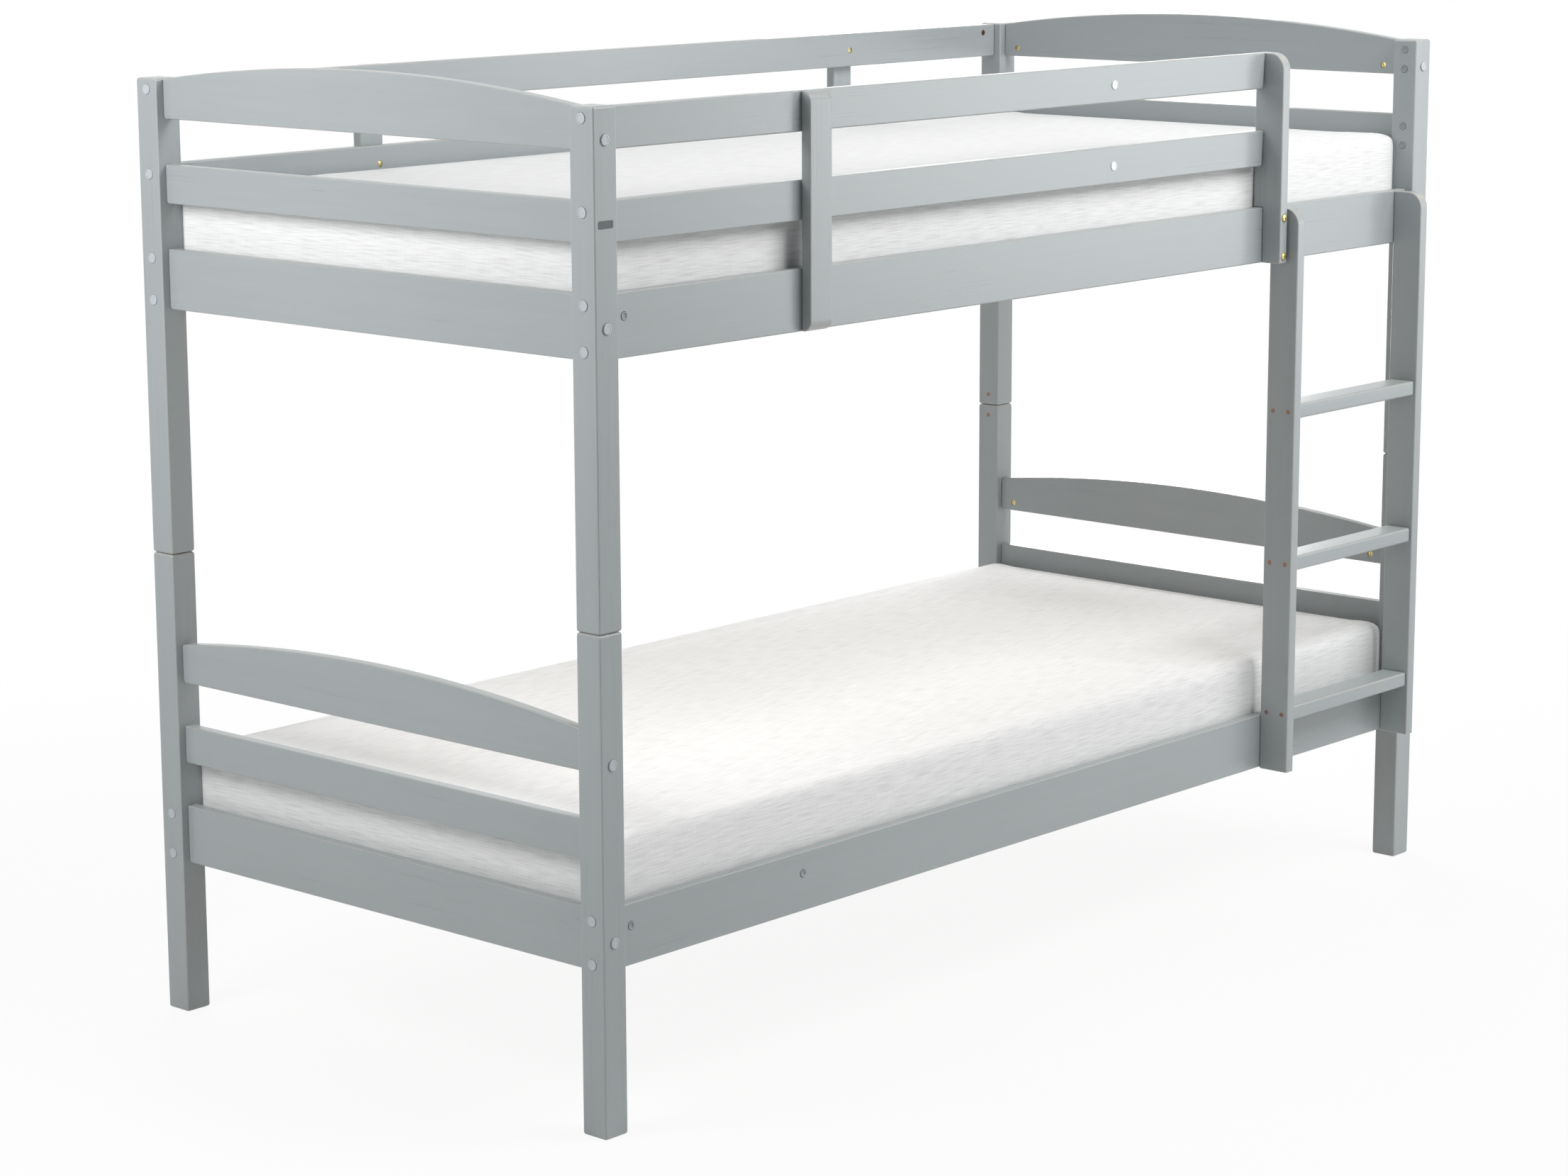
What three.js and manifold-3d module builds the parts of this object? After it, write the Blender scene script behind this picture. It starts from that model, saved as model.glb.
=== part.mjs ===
// A painted two-berth bunk bed: two single beds stacked on steel pins, with
// arched end panels, guard rails round the upper berth and a fixed ladder.
// Millimetres. X runs along the bed with the ladder at +X, -Y is the ladder
// side, +Z is up, and the origin is on the floor under the middle of all that
// the bed takes up, the ladder included.

import * as THREE from 'three';
import { mergeVertices } from 'three/addons/utils/BufferGeometryUtils.js';
import Module from 'manifold-3d';

const wasm = await Module();
wasm.setup();

// Overall frame
const BED_LENGTH = 2080;
const BED_WIDTH = 968;
const POST_SIDE = 46;
const LOWER_POST_HEIGHT = 734;
const UPPER_POST_HEIGHT = 730;

// Boards
const BOARD_THICKNESS = 18;
const SIDE_RAIL_HEIGHT = 92;
const SLIM_RAIL_HEIGHT = 59;
const RAIL_GAP = 69;
const ARCH_END_HEIGHT = 60;
const ARCH_RISE = 30;
const LOWER_RAIL_BASE = 242;
const TOP_REVEAL = 1;

// Guard uprights
const FLAT_UPRIGHT_WIDTH = 48;
const FLAT_UPRIGHT_THICKNESS = 18;
const FLAT_UPRIGHT_INSET = 464;
const END_UPRIGHT_GAP = 4.5;
const END_UPRIGHT_THICKNESS = 20;
const END_UPRIGHT_REACH = 37;

// Ladder
const LADDER_POST_GAP = 16.5;
const LADDER_WIDTH = 394;
const STILE_DEPTH = 56;
const STILE_THICKNESS = 20;
const STILE_DROP = 2;
const STILE_TOP_DROP = 1;
const RUNG_COUNT = 3;
const RUNG_DEPTH = 48;
const RUNG_THICKNESS = 25;
const FIRST_RUNG_HEIGHT = 101;
const TOP_STEP_DROP = 81;

// Bed bases and mattresses
const LEDGER_HEIGHT = 24;
const LEDGER_DEPTH = 24;
const SLAT_COUNT = 15;
const SLAT_WIDTH = 68;
const SLAT_THICKNESS = 14;
const SLAT_END_PLAY = 6;
const TAPE_WIDTH = 30;
const TAPE_THICKNESS = 1.5;
const TAPE_INSET = 146;
const MATTRESS_END_PLAY = 8;
const MATTRESS_SIDE_PLAY = 2;
const MATTRESS_POST_GAP = 5;
const MATTRESS_HEIGHT = 144;
const MATTRESS_CROWN = 6;
const MATTRESS_WAIST = 3;
const MATTRESS_EDGE = 18;

// Joinery
const DOWEL_RADIUS = 4;
const DOWEL_DEPTH = 16;
const UPRIGHT_DOWEL_DEPTH = 11;
const DOWEL_EDGE_MARGIN = 14;
const WIDE_DOWEL_EDGE_MARGIN = 18;
const PIN_RADIUS = 6;
const PIN_LENGTH = 90;
const LADDER_BOLT_RADIUS = 3;
const LADDER_BOLT_REACH = 34;
const LADDER_BOLT_HEAD_RADIUS = 6.5;
const LADDER_BOLT_HEAD_HEIGHT = 4;
const LADDER_BOLT_HEIGHT = 58.5;
const DOME_SCREW_RADIUS = 2.5;
const DOME_SCREW_REACH = 12;
const DOME_HEAD_RADIUS = 5;
const DOME_HEAD_HEIGHT = 2.6;
const DOME_SCREW_LOW = 12;
const DOME_SCREW_TOP_MARGIN = 16;

// Fits and rounded edges
const JOINT_GAP = 0.3;
const POST_EDGE = 4;
const BOARD_EDGE = 3;
const BOARD_CORNER = 6.5;
const CUT_CORNER = BOARD_EDGE + 0.5;
const UPRIGHT_TOP_RADIUS = 20;
const FLAT_UPRIGHT_TOP_RADIUS = 13;
const LEDGER_EDGE = 1.5;

// How finely round shapes are cut
const CORNER_STEPS = 1;
const ARCH_STEPS = 14;
const DOWEL_SIDES = 6;
const PIN_SIDES = 12;
const OVERLAP = 0.2;

// Places worked out from the sizes above
const POST_X = (BED_LENGTH - POST_SIDE) / 2;
const POST_Y = (BED_WIDTH - POST_SIDE) / 2;
const INNER_POST_X = BED_LENGTH / 2 - POST_SIDE;
const INNER_POST_Y = BED_WIDTH / 2 - POST_SIDE;
const RAIL_INNER_X = POST_X - BOARD_THICKNESS / 2;
const RAIL_OUTER_Y = POST_Y + BOARD_THICKNESS / 2;
const RAIL_INNER_Y = POST_Y - BOARD_THICKNESS / 2;
const SIDE_RAIL_LENGTH = 2 * (INNER_POST_X - JOINT_GAP);
const END_RAIL_LENGTH = 2 * (INNER_POST_Y - JOINT_GAP);
const MIDDLE_RAIL_LIFT = SIDE_RAIL_HEIGHT + RAIL_GAP;
const TOP_RAIL_LIFT = MIDDLE_RAIL_LIFT + SLIM_RAIL_HEIGHT + RAIL_GAP;
const FRONT_REACH = RAIL_OUTER_Y + JOINT_GAP + STILE_DEPTH;
const BACK_REACH = RAIL_OUTER_Y + JOINT_GAP + FLAT_UPRIGHT_THICKNESS;
const POST_TOP = LOWER_POST_HEIGHT + UPPER_POST_HEIGHT;
const UPPER_RAIL_BASE = POST_TOP - TOP_REVEAL - ARCH_END_HEIGHT - TOP_RAIL_LIFT;
const UPRIGHT_HEIGHT = TOP_RAIL_LIFT + SLIM_RAIL_HEIGHT;
const FLAT_UPRIGHT_X = BED_LENGTH / 2 - FLAT_UPRIGHT_INSET;
const SLAT_LIFT = LEDGER_HEIGHT + JOINT_GAP;
const MATTRESS_LIFT = SLAT_LIFT + SLAT_THICKNESS + JOINT_GAP;

// The ladder stands beside the foot post, and the end upright beside it
const LADDER_X = INNER_POST_X - LADDER_POST_GAP - LADDER_WIDTH;
const LADDER_BASE = LOWER_RAIL_BASE - STILE_DROP;
const STILE_LENGTH = UPPER_RAIL_BASE + SIDE_RAIL_HEIGHT - STILE_TOP_DROP - LADDER_BASE;
const RUNG_PITCH = (STILE_LENGTH - FIRST_RUNG_HEIGHT - TOP_STEP_DROP) / RUNG_COUNT;
const END_UPRIGHT_X = LADDER_X - END_UPRIGHT_GAP - END_UPRIGHT_THICKNESS;
const DOME_SCREW_HEIGHTS = [DOME_SCREW_LOW, SIDE_RAIL_HEIGHT - DOME_SCREW_TOP_MARGIN];

// The mattress fills the frame's clear inside, and its corners are rounded just
// enough to pass the inner corners of the posts
const MATTRESS_LENGTH = 2 * (RAIL_INNER_X - MATTRESS_END_PLAY);
const MATTRESS_WIDTH = 2 * (RAIL_INNER_Y - MATTRESS_SIDE_PLAY);
const POST_BITE_X = MATTRESS_LENGTH / 2 - INNER_POST_X;
const POST_BITE_Y = MATTRESS_WIDTH / 2 - INNER_POST_Y;
const BITE_SUM = POST_BITE_X + POST_BITE_Y + MATTRESS_POST_GAP;
const MATTRESS_CORNER = BITE_SUM
  + Math.sqrt(BITE_SUM ** 2 - POST_BITE_X ** 2 - POST_BITE_Y ** 2 + MATTRESS_POST_GAP ** 2);

// Heights of the dowels in a rail's end, above its lower edge
const SIDE_RAIL_DOWELS = [SIDE_RAIL_HEIGHT / 2];
const BOTTOM_RAIL_DOWELS = [WIDE_DOWEL_EDGE_MARGIN, SIDE_RAIL_HEIGHT - WIDE_DOWEL_EDGE_MARGIN];
const MIDDLE_RAIL_DOWELS = [DOWEL_EDGE_MARGIN, SLIM_RAIL_HEIGHT - DOWEL_EDGE_MARGIN];
const ARCH_RAIL_DOWELS = [ARCH_END_HEIGHT - DOWEL_EDGE_MARGIN];
const GUARD_RAIL_DOWELS = [DOWEL_EDGE_MARGIN];

// The three rails of every end panel: name, height of its lower edge, dowels
const END_RAILS = [
  {
    name: 'bottom_rail', lift: 0, height: SIDE_RAIL_HEIGHT, rise: 0,
    dowels: BOTTOM_RAIL_DOWELS,
  },
  {
    name: 'middle_rail', lift: MIDDLE_RAIL_LIFT, height: SLIM_RAIL_HEIGHT, rise: 0,
    dowels: MIDDLE_RAIL_DOWELS,
  },
  {
    name: 'arch_rail', lift: TOP_RAIL_LIFT, height: ARCH_END_HEIGHT, rise: ARCH_RISE,
    dowels: ARCH_RAIL_DOWELS,
  },
];
const GUARD_RAILS = [
  { name: 'low', lift: MIDDLE_RAIL_LIFT },
  { name: 'high', lift: TOP_RAIL_LIFT },
];
const SIDES = [{ name: 'front', sign: -1 }, { name: 'back', sign: 1 }];
const ENDS = [{ name: 'head', sign: -1 }, { name: 'foot', sign: 1 }];

// Finishes
const greyPaint = new THREE.MeshStandardMaterial({ color: 0xa6adaf, roughness: 0.5, metalness: 0 });
const bareWood = new THREE.MeshStandardMaterial({ color: 0xd9bd8f, roughness: 0.7, metalness: 0 });
const linen = new THREE.MeshStandardMaterial({ color: 0xe6e6e4, roughness: 0.95, metalness: 0 });
const steel = new THREE.MeshStandardMaterial({ color: 0x9a9a9a, roughness: 0.35, metalness: 1 });
const brass = new THREE.MeshStandardMaterial({ color: 0xc9a95c, roughness: 0.3, metalness: 1 });

// Turns a closed geometry into a solid that can be cut and joined.
function toSolid(geometry) {
  const bare = geometry.clone();
  bare.deleteAttribute('normal');
  bare.deleteAttribute('uv');
  const merged = mergeVertices(bare, 1e-4);
  return new wasm.Manifold(new wasm.Mesh({
    numProp: 3,
    vertProperties: new Float32Array(merged.attributes.position.array),
    triVerts: new Uint32Array(merged.index.array),
  }));
}

// Turns a solid back into a geometry.
function toGeometry(solid) {
  const mesh = solid.getMesh();
  const geometry = new THREE.BufferGeometry();
  geometry.setAttribute('position', new THREE.BufferAttribute(new Float32Array(mesh.vertProperties), 3));
  geometry.setIndex(new THREE.BufferAttribute(new Uint32Array(mesh.triVerts), 1));
  geometry.computeVertexNormals();
  return geometry;
}

// Joins geometries to a first one, then cuts others out of the result.
function shaped(geometry, joined, cut) {
  let solid = toSolid(geometry);
  for (const extra of joined) solid = solid.add(toSolid(extra));
  for (const hole of cut) solid = solid.subtract(toSolid(hole));
  return toGeometry(solid);
}

// A named piece.
function piece(name, geometry, material, x = 0, y = 0, z = 0) {
  const mesh = new THREE.Mesh(geometry, material);
  mesh.name = name;
  mesh.position.set(x, y, z);
  return mesh;
}

// A round bar along the direction given, from a start point.
function bar(radius, length, sides, direction, start) {
  const geometry = new THREE.CylinderGeometry(radius, radius, length, sides);
  geometry.translate(0, length / 2, 0);
  geometry.applyQuaternion(new THREE.Quaternion().setFromUnitVectors(
    new THREE.Vector3(0, 1, 0), new THREE.Vector3(...direction)));
  geometry.translate(...start);
  return geometry;
}

// A rectangle from (0, 0) with a radius for each corner, named by its place.
function roundedRectangle(width, height, { lowLeft, lowRight, highRight, highLeft }) {
  const shape = new THREE.Shape();
  shape.moveTo(lowLeft, 0);
  shape.lineTo(width - lowRight, 0);
  shape.absarc(width - lowRight, lowRight, lowRight, -Math.PI / 2, 0, false);
  shape.lineTo(width, height - highRight);
  shape.absarc(width - highRight, height - highRight, highRight, 0, Math.PI / 2, false);
  shape.lineTo(highLeft, height);
  shape.absarc(highLeft, height - highLeft, highLeft, Math.PI / 2, Math.PI, false);
  shape.lineTo(0, lowLeft);
  shape.absarc(lowLeft, lowLeft, lowLeft, Math.PI, Math.PI * 1.5, false);
  return shape;
}

function evenCorners(radius) {
  return { lowLeft: radius, lowRight: radius, highRight: radius, highLeft: radius };
}

// A rail's outline, with its top edge bowed up to its middle by the rise.
function railOutline(length, height, rise) {
  if (rise === 0) return roundedRectangle(length, height, evenCorners(BOARD_CORNER));
  const shape = new THREE.Shape();
  const halfChord = length / 2;
  const arcRadius = (halfChord * halfChord + rise * rise) / (2 * rise);
  shape.moveTo(BOARD_CORNER, 0);
  shape.lineTo(length - BOARD_CORNER, 0);
  shape.absarc(length - BOARD_CORNER, BOARD_CORNER, BOARD_CORNER, -Math.PI / 2, 0, false);
  const halfAngle = Math.asin(halfChord / arcRadius);
  for (let step = 0; step <= ARCH_STEPS; step += 1) {
    const angle = halfAngle * (1 - (2 * step) / ARCH_STEPS);
    const across = halfChord + arcRadius * Math.sin(angle);
    shape.lineTo(across, height + rise - arcRadius * (1 - Math.cos(angle)));
  }
  shape.lineTo(0, BOARD_CORNER);
  shape.absarc(BOARD_CORNER, BOARD_CORNER, BOARD_CORNER, Math.PI, Math.PI * 1.5, false);
  return shape;
}

// A board cut to an outline, with its two faces' edges eased. The outline's
// length lies along X and its height along Z, and the thickness is centred on Y.
function boardFrom(shape, thickness, edge) {
  const geometry = new THREE.ExtrudeGeometry(shape, {
    depth: thickness - 2 * edge,
    bevelEnabled: true,
    bevelThickness: edge,
    bevelSize: edge,
    bevelOffset: -edge,
    bevelSegments: 1,
    curveSegments: CORNER_STEPS,
  });
  geometry.rotateX(Math.PI / 2);
  geometry.translate(0, thickness / 2 - edge, 0);
  return geometry;
}

// A rail centred on X, its lower edge at Z = 0, with a dowel glued into each
// end at each height given. The reach is how far the dowels stand out.
function rail(length, height, rise, dowelHeights, leftReach, rightReach) {
  const board = boardFrom(railOutline(length, height, rise), BOARD_THICKNESS, BOARD_EDGE);
  board.translate(-length / 2, 0, 0);
  const dowels = dowelHeights.flatMap((z) => [
    bar(DOWEL_RADIUS, leftReach + OVERLAP, DOWEL_SIDES, [-1, 0, 0], [-length / 2 + OVERLAP, 0, z]),
    bar(DOWEL_RADIUS, rightReach + OVERLAP, DOWEL_SIDES, [1, 0, 0], [length / 2 - OVERLAP, 0, z]),
  ]);
  return shaped(board, dowels, []);
}

// The tool for a round hole, going in along the direction given. It starts a
// little outside the mouth, so that the hole opens cleanly.
function bore(radius, depth, sides, direction, mouth) {
  const start = mouth.map((value, axis) => value - direction[axis] * OVERLAP);
  return bar(radius, depth + OVERLAP, sides, direction, start);
}

// The tool for a hole that takes a dowel.
function dowelSocket(direction, mouth, depth) {
  return bore(DOWEL_RADIUS + JOINT_GAP, depth + JOINT_GAP, DOWEL_SIDES, direction, mouth);
}

// A post standing on Z = 0, with eased ends, sockets for the rails that meet
// it and a bore for the steel pin that joins the two posts of a corner.
function post(height, base, railBase, xSign, ySign, pinAtTop, guardRails) {
  const half = POST_SIDE / 2;
  const shape = roundedRectangle(POST_SIDE, POST_SIDE, evenCorners(POST_EDGE + 0.5));
  const geometry = new THREE.ExtrudeGeometry(shape, {
    depth: height - 2 * POST_EDGE,
    bevelEnabled: true,
    bevelThickness: POST_EDGE,
    bevelSize: POST_EDGE,
    bevelOffset: -POST_EDGE,
    bevelSegments: 2,
    curveSegments: CORNER_STEPS,
  });
  geometry.translate(-half, -half, POST_EDGE);
  const lift = railBase - base;
  const xHeights = SIDE_RAIL_DOWELS.map((z) => lift + z);
  for (const guard of guardRails) xHeights.push(...GUARD_RAIL_DOWELS.map((z) => lift + guard.lift + z));
  const yHeights = END_RAILS.flatMap((end) => end.dowels.map((z) => lift + end.lift + z));
  const holes = [
    ...xHeights.map((z) => dowelSocket([xSign, 0, 0], [-xSign * half, 0, z], DOWEL_DEPTH)),
    ...yHeights.map((z) => dowelSocket([0, ySign, 0], [0, -ySign * half, z], DOWEL_DEPTH)),
  ];
  const pinDirection = pinAtTop ? [0, 0, -1] : [0, 0, 1];
  const pinMouth = [0, 0, pinAtTop ? height : 0];
  holes.push(bore(PIN_RADIUS + JOINT_GAP, PIN_LENGTH / 2 + JOINT_GAP, PIN_SIDES, pinDirection, pinMouth));
  return shaped(geometry, [], holes);
}

// The eight posts and the pins in their joints
function buildPosts() {
  const group = new THREE.Group();
  for (const side of SIDES) {
    for (const end of ENDS) {
      const x = end.sign * POST_X;
      const y = side.sign * POST_Y;
      const corner = `${side.name}_${end.name}`;
      const lower = post(LOWER_POST_HEIGHT, 0, LOWER_RAIL_BASE, end.sign, side.sign, true, []);
      group.add(piece(`lower_post_${corner}`, lower, greyPaint, x, y, 0));
      const upperBase = LOWER_POST_HEIGHT + JOINT_GAP;
      const upperHeight = UPPER_POST_HEIGHT - JOINT_GAP;
      const upper = post(upperHeight, upperBase, UPPER_RAIL_BASE, end.sign, side.sign, false, GUARD_RAILS);
      group.add(piece(`upper_post_${corner}`, upper, greyPaint, x, y, upperBase));
      const pin = bar(PIN_RADIUS, PIN_LENGTH, PIN_SIDES, [0, 0, 1], [0, 0, -PIN_LENGTH / 2]);
      group.add(piece(`joint_pin_${corner}`, pin, steel, x, y, LOWER_POST_HEIGHT + JOINT_GAP / 2));
    }
  }
  return group;
}

// The rails of the four end panels
function buildEndPanels() {
  const group = new THREE.Group();
  const levels = [{ name: 'lower', base: LOWER_RAIL_BASE }, { name: 'upper', base: UPPER_RAIL_BASE }];
  for (const level of levels) {
    for (const end of ENDS) {
      for (const part of END_RAILS) {
        const geometry = rail(END_RAIL_LENGTH, part.height, part.rise, part.dowels, DOWEL_DEPTH, DOWEL_DEPTH);
        const name = `${level.name}_${end.name}_${part.name}`;
        const board = piece(name, geometry, greyPaint, end.sign * POST_X, 0, level.base + part.lift);
        board.rotation.z = Math.PI / 2;
        group.add(board);
      }
    }
  }
  return group;
}

// A flush countersunk bolt for the ladder, pointing along -Y from Y = 0.
function ladderBolt() {
  const reach = BOARD_THICKNESS + LADDER_BOLT_REACH;
  const shank = bar(LADDER_BOLT_RADIUS, reach, PIN_SIDES, [0, -1, 0], [0, 0, 0]);
  const head = bar(LADDER_BOLT_HEAD_RADIUS, LADDER_BOLT_HEAD_HEIGHT, PIN_SIDES, [0, -1, 0], [0, 0, 0]);
  return shaped(shank, [head], []);
}

// Heights of the bolts that hold the ladder, and places along X of its stiles
const BOLT_LEVELS = [
  { name: 'lower', z: LOWER_RAIL_BASE + LADDER_BOLT_HEIGHT },
  { name: 'upper', z: UPPER_RAIL_BASE + LADDER_BOLT_HEIGHT },
];
const STILES = [
  { name: 'head_side', x: LADDER_X + STILE_THICKNESS / 2 },
  { name: 'foot_side', x: LADDER_X + LADDER_WIDTH - STILE_THICKNESS / 2 },
];
const END_UPRIGHT_CENTRE_X = END_UPRIGHT_X + END_UPRIGHT_THICKNESS / 2;

// The four side rails. The front ones are bored for the ladder's bolts, and
// the upper front one for the screws of the upright beside the ladder.
function buildSideRails() {
  const group = new THREE.Group();
  for (const level of BOLT_LEVELS) {
    const base = level.name === 'lower' ? LOWER_RAIL_BASE : UPPER_RAIL_BASE;
    for (const side of SIDES) {
      let geometry = rail(SIDE_RAIL_LENGTH, SIDE_RAIL_HEIGHT, 0, SIDE_RAIL_DOWELS, DOWEL_DEPTH, DOWEL_DEPTH);
      if (side.name === 'front') {
        const innerFace = BOARD_THICKNESS / 2;
        const holes = STILES.flatMap(({ x }) => {
          const mouth = [x, innerFace, LADDER_BOLT_HEIGHT];
          const headDepth = LADDER_BOLT_HEAD_HEIGHT + 2 * JOINT_GAP;
          return [
            bore(LADDER_BOLT_RADIUS + JOINT_GAP, BOARD_THICKNESS + OVERLAP, PIN_SIDES, [0, -1, 0], mouth),
            bore(LADDER_BOLT_HEAD_RADIUS + JOINT_GAP, headDepth, PIN_SIDES, [0, -1, 0], mouth),
          ];
        });
        if (level.name === 'upper') {
          holes.push(...DOME_SCREW_HEIGHTS.map((z) => bore(DOME_SCREW_RADIUS + JOINT_GAP,
            DOME_SCREW_REACH + JOINT_GAP, PIN_SIDES, [0, 1, 0], [END_UPRIGHT_CENTRE_X, -innerFace, z])));
        }
        geometry = shaped(geometry, [], holes);
      }
      const name = `${level.name}_side_rail_${side.name}`;
      group.add(piece(name, geometry, greyPaint, 0, side.sign * POST_Y, base));
    }
  }
  return group;
}

// The guard rails: the back ones run from post to post, the front ones stop
// at the upright beside the ladder.
function buildGuardRails() {
  const group = new THREE.Group();
  const frontLeft = -INNER_POST_X + JOINT_GAP;
  const frontRight = END_UPRIGHT_X - JOINT_GAP;
  const frontLength = frontRight - frontLeft;
  for (const guard of GUARD_RAILS) {
    const z = UPPER_RAIL_BASE + guard.lift;
    const front = rail(frontLength, SLIM_RAIL_HEIGHT, 0, GUARD_RAIL_DOWELS, DOWEL_DEPTH, UPRIGHT_DOWEL_DEPTH);
    const frontMiddle = (frontLeft + frontRight) / 2;
    group.add(piece(`guard_rail_front_${guard.name}`, front, greyPaint, frontMiddle, -POST_Y, z));
    const back = rail(SIDE_RAIL_LENGTH, SLIM_RAIL_HEIGHT, 0, GUARD_RAIL_DOWELS, DOWEL_DEPTH, DOWEL_DEPTH);
    group.add(piece(`guard_rail_back_${guard.name}`, back, greyPaint, 0, POST_Y, z));
  }
  return group;
}

// A board seen on edge: its outline lies in the YZ plane, with Y = 0 at the
// rail it stands against and +Y away from the bed, and X is centred.
function edgeBoard(shape, thickness, edge) {
  const geometry = boardFrom(shape, thickness, edge);
  geometry.rotateZ(Math.PI / 2);
  return geometry;
}

// The flat uprights that tie the guard rails to the side rail
function buildFlatUprights() {
  const group = new THREE.Group();
  const corners = {
    lowLeft: CUT_CORNER, lowRight: FLAT_UPRIGHT_TOP_RADIUS,
    highRight: FLAT_UPRIGHT_TOP_RADIUS, highLeft: CUT_CORNER,
  };
  const places = [
    { name: 'guard_upright_front', x: -FLAT_UPRIGHT_X, side: -1 },
    { name: 'guard_upright_back_head', x: -FLAT_UPRIGHT_X, side: 1 },
    { name: 'guard_upright_back_foot', x: FLAT_UPRIGHT_X, side: 1 },
  ];
  for (const place of places) {
    const outline = roundedRectangle(FLAT_UPRIGHT_THICKNESS, UPRIGHT_HEIGHT, corners);
    const geometry = edgeBoard(outline, FLAT_UPRIGHT_WIDTH, BOARD_EDGE);
    const y = place.side * (RAIL_OUTER_Y + JOINT_GAP);
    const upright = piece(place.name, geometry, greyPaint, place.x, y, UPPER_RAIL_BASE);
    if (place.side < 0) upright.rotation.z = Math.PI;
    group.add(upright);
  }
  return group;
}

// The upright beside the ladder: the guard rails end on its face, and it is
// notched at its foot to lap the side rail, where two dome-head screws hold it.
function buildEndUpright() {
  const group = new THREE.Group();
  const depth = END_UPRIGHT_REACH + BOARD_THICKNESS;
  const outline = roundedRectangle(depth, UPRIGHT_HEIGHT, {
    lowLeft: CUT_CORNER, lowRight: CUT_CORNER, highRight: UPRIGHT_TOP_RADIUS, highLeft: CUT_CORNER,
  });
  const upright = edgeBoard(outline, END_UPRIGHT_THICKNESS, BOARD_EDGE);
  const notchHeight = SIDE_RAIL_HEIGHT + JOINT_GAP;
  const notchDepth = BOARD_THICKNESS + JOINT_GAP;
  const notch = new THREE.BoxGeometry(END_UPRIGHT_THICKNESS + 2 * OVERLAP, notchDepth + OVERLAP,
    notchHeight + OVERLAP);
  notch.translate(0, (notchDepth - OVERLAP) / 2, (notchHeight - OVERLAP) / 2);
  const screwHoles = DOME_SCREW_HEIGHTS.map((z) => bore(DOME_SCREW_RADIUS + JOINT_GAP, depth + OVERLAP,
    PIN_SIDES, [0, 1, 0], [0, 0, z]));
  const sockets = GUARD_RAILS.flatMap((guard) => GUARD_RAIL_DOWELS.map((z) => dowelSocket(
    [-1, 0, 0], [END_UPRIGHT_THICKNESS / 2, BOARD_THICKNESS / 2, guard.lift + z], UPRIGHT_DOWEL_DEPTH)));
  const geometry = shaped(upright, [], [notch, ...screwHoles, ...sockets]);
  const x = END_UPRIGHT_CENTRE_X;
  const mesh = piece('guard_upright_ladder', geometry, greyPaint, x, -RAIL_INNER_Y, UPPER_RAIL_BASE);
  mesh.rotation.z = Math.PI;
  group.add(mesh);
  const face = -(RAIL_OUTER_Y + END_UPRIGHT_REACH);
  DOME_SCREW_HEIGHTS.forEach((z, index) => {
    group.add(piece(`upright_screw_${index + 1}`, domeScrew(), brass, x, face, UPPER_RAIL_BASE + z));
  });
  return group;
}

// A dome-head screw pointing along +Y, its head's seat just off Y = 0.
function domeScrew() {
  const reach = END_UPRIGHT_REACH + DOME_SCREW_REACH - JOINT_GAP;
  const profile = [
    new THREE.Vector2(0, -reach),
    new THREE.Vector2(DOME_SCREW_RADIUS, -reach),
    new THREE.Vector2(DOME_SCREW_RADIUS, JOINT_GAP),
    new THREE.Vector2(DOME_HEAD_RADIUS, JOINT_GAP),
    new THREE.Vector2(DOME_HEAD_RADIUS * 0.75, JOINT_GAP + DOME_HEAD_HEIGHT * 0.7),
    new THREE.Vector2(0, JOINT_GAP + DOME_HEAD_HEIGHT),
  ];
  const geometry = new THREE.LatheGeometry(profile, PIN_SIDES);
  geometry.rotateX(Math.PI);
  return toGeometry(toSolid(geometry));
}

// The ladder: two stiles bolted to the front side rails and three rungs
function buildLadder() {
  const group = new THREE.Group();
  const back = -(RAIL_OUTER_Y + JOINT_GAP);
  const outline = roundedRectangle(STILE_DEPTH, STILE_LENGTH, {
    lowLeft: CUT_CORNER, lowRight: CUT_CORNER, highRight: UPRIGHT_TOP_RADIUS, highLeft: CUT_CORNER,
  });
  for (const stile of STILES) {
    const holes = BOLT_LEVELS.map((level) => bore(LADDER_BOLT_RADIUS + JOINT_GAP,
      LADDER_BOLT_REACH + JOINT_GAP, PIN_SIDES, [0, 1, 0], [0, 0, level.z - LADDER_BASE]));
    const geometry = shaped(edgeBoard(outline, STILE_THICKNESS, BOARD_EDGE), [], holes);
    const mesh = piece(`ladder_stile_${stile.name}`, geometry, greyPaint, stile.x, back, LADDER_BASE);
    mesh.rotation.z = Math.PI;
    group.add(mesh);
    for (const level of BOLT_LEVELS) {
      group.add(piece(`ladder_bolt_${level.name}_${stile.name}`, ladderBolt(), steel, stile.x,
        -RAIL_INNER_Y - JOINT_GAP, level.z));
    }
  }
  const rungLength = LADDER_WIDTH - 2 * STILE_THICKNESS - 2 * JOINT_GAP;
  for (let index = 0; index < RUNG_COUNT; index += 1) {
    const shape = roundedRectangle(rungLength, RUNG_THICKNESS, evenCorners(CUT_CORNER));
    const geometry = boardFrom(shape, RUNG_DEPTH, BOARD_EDGE);
    geometry.translate(-rungLength / 2, 0, -RUNG_THICKNESS / 2);
    const z = LADDER_BASE + FIRST_RUNG_HEIGHT + index * RUNG_PITCH;
    group.add(piece(`ladder_rung_${index + 1}`, geometry, greyPaint, LADDER_X + LADDER_WIDTH / 2,
      back - STILE_DEPTH / 2, z));
  }
  return group;
}

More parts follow.
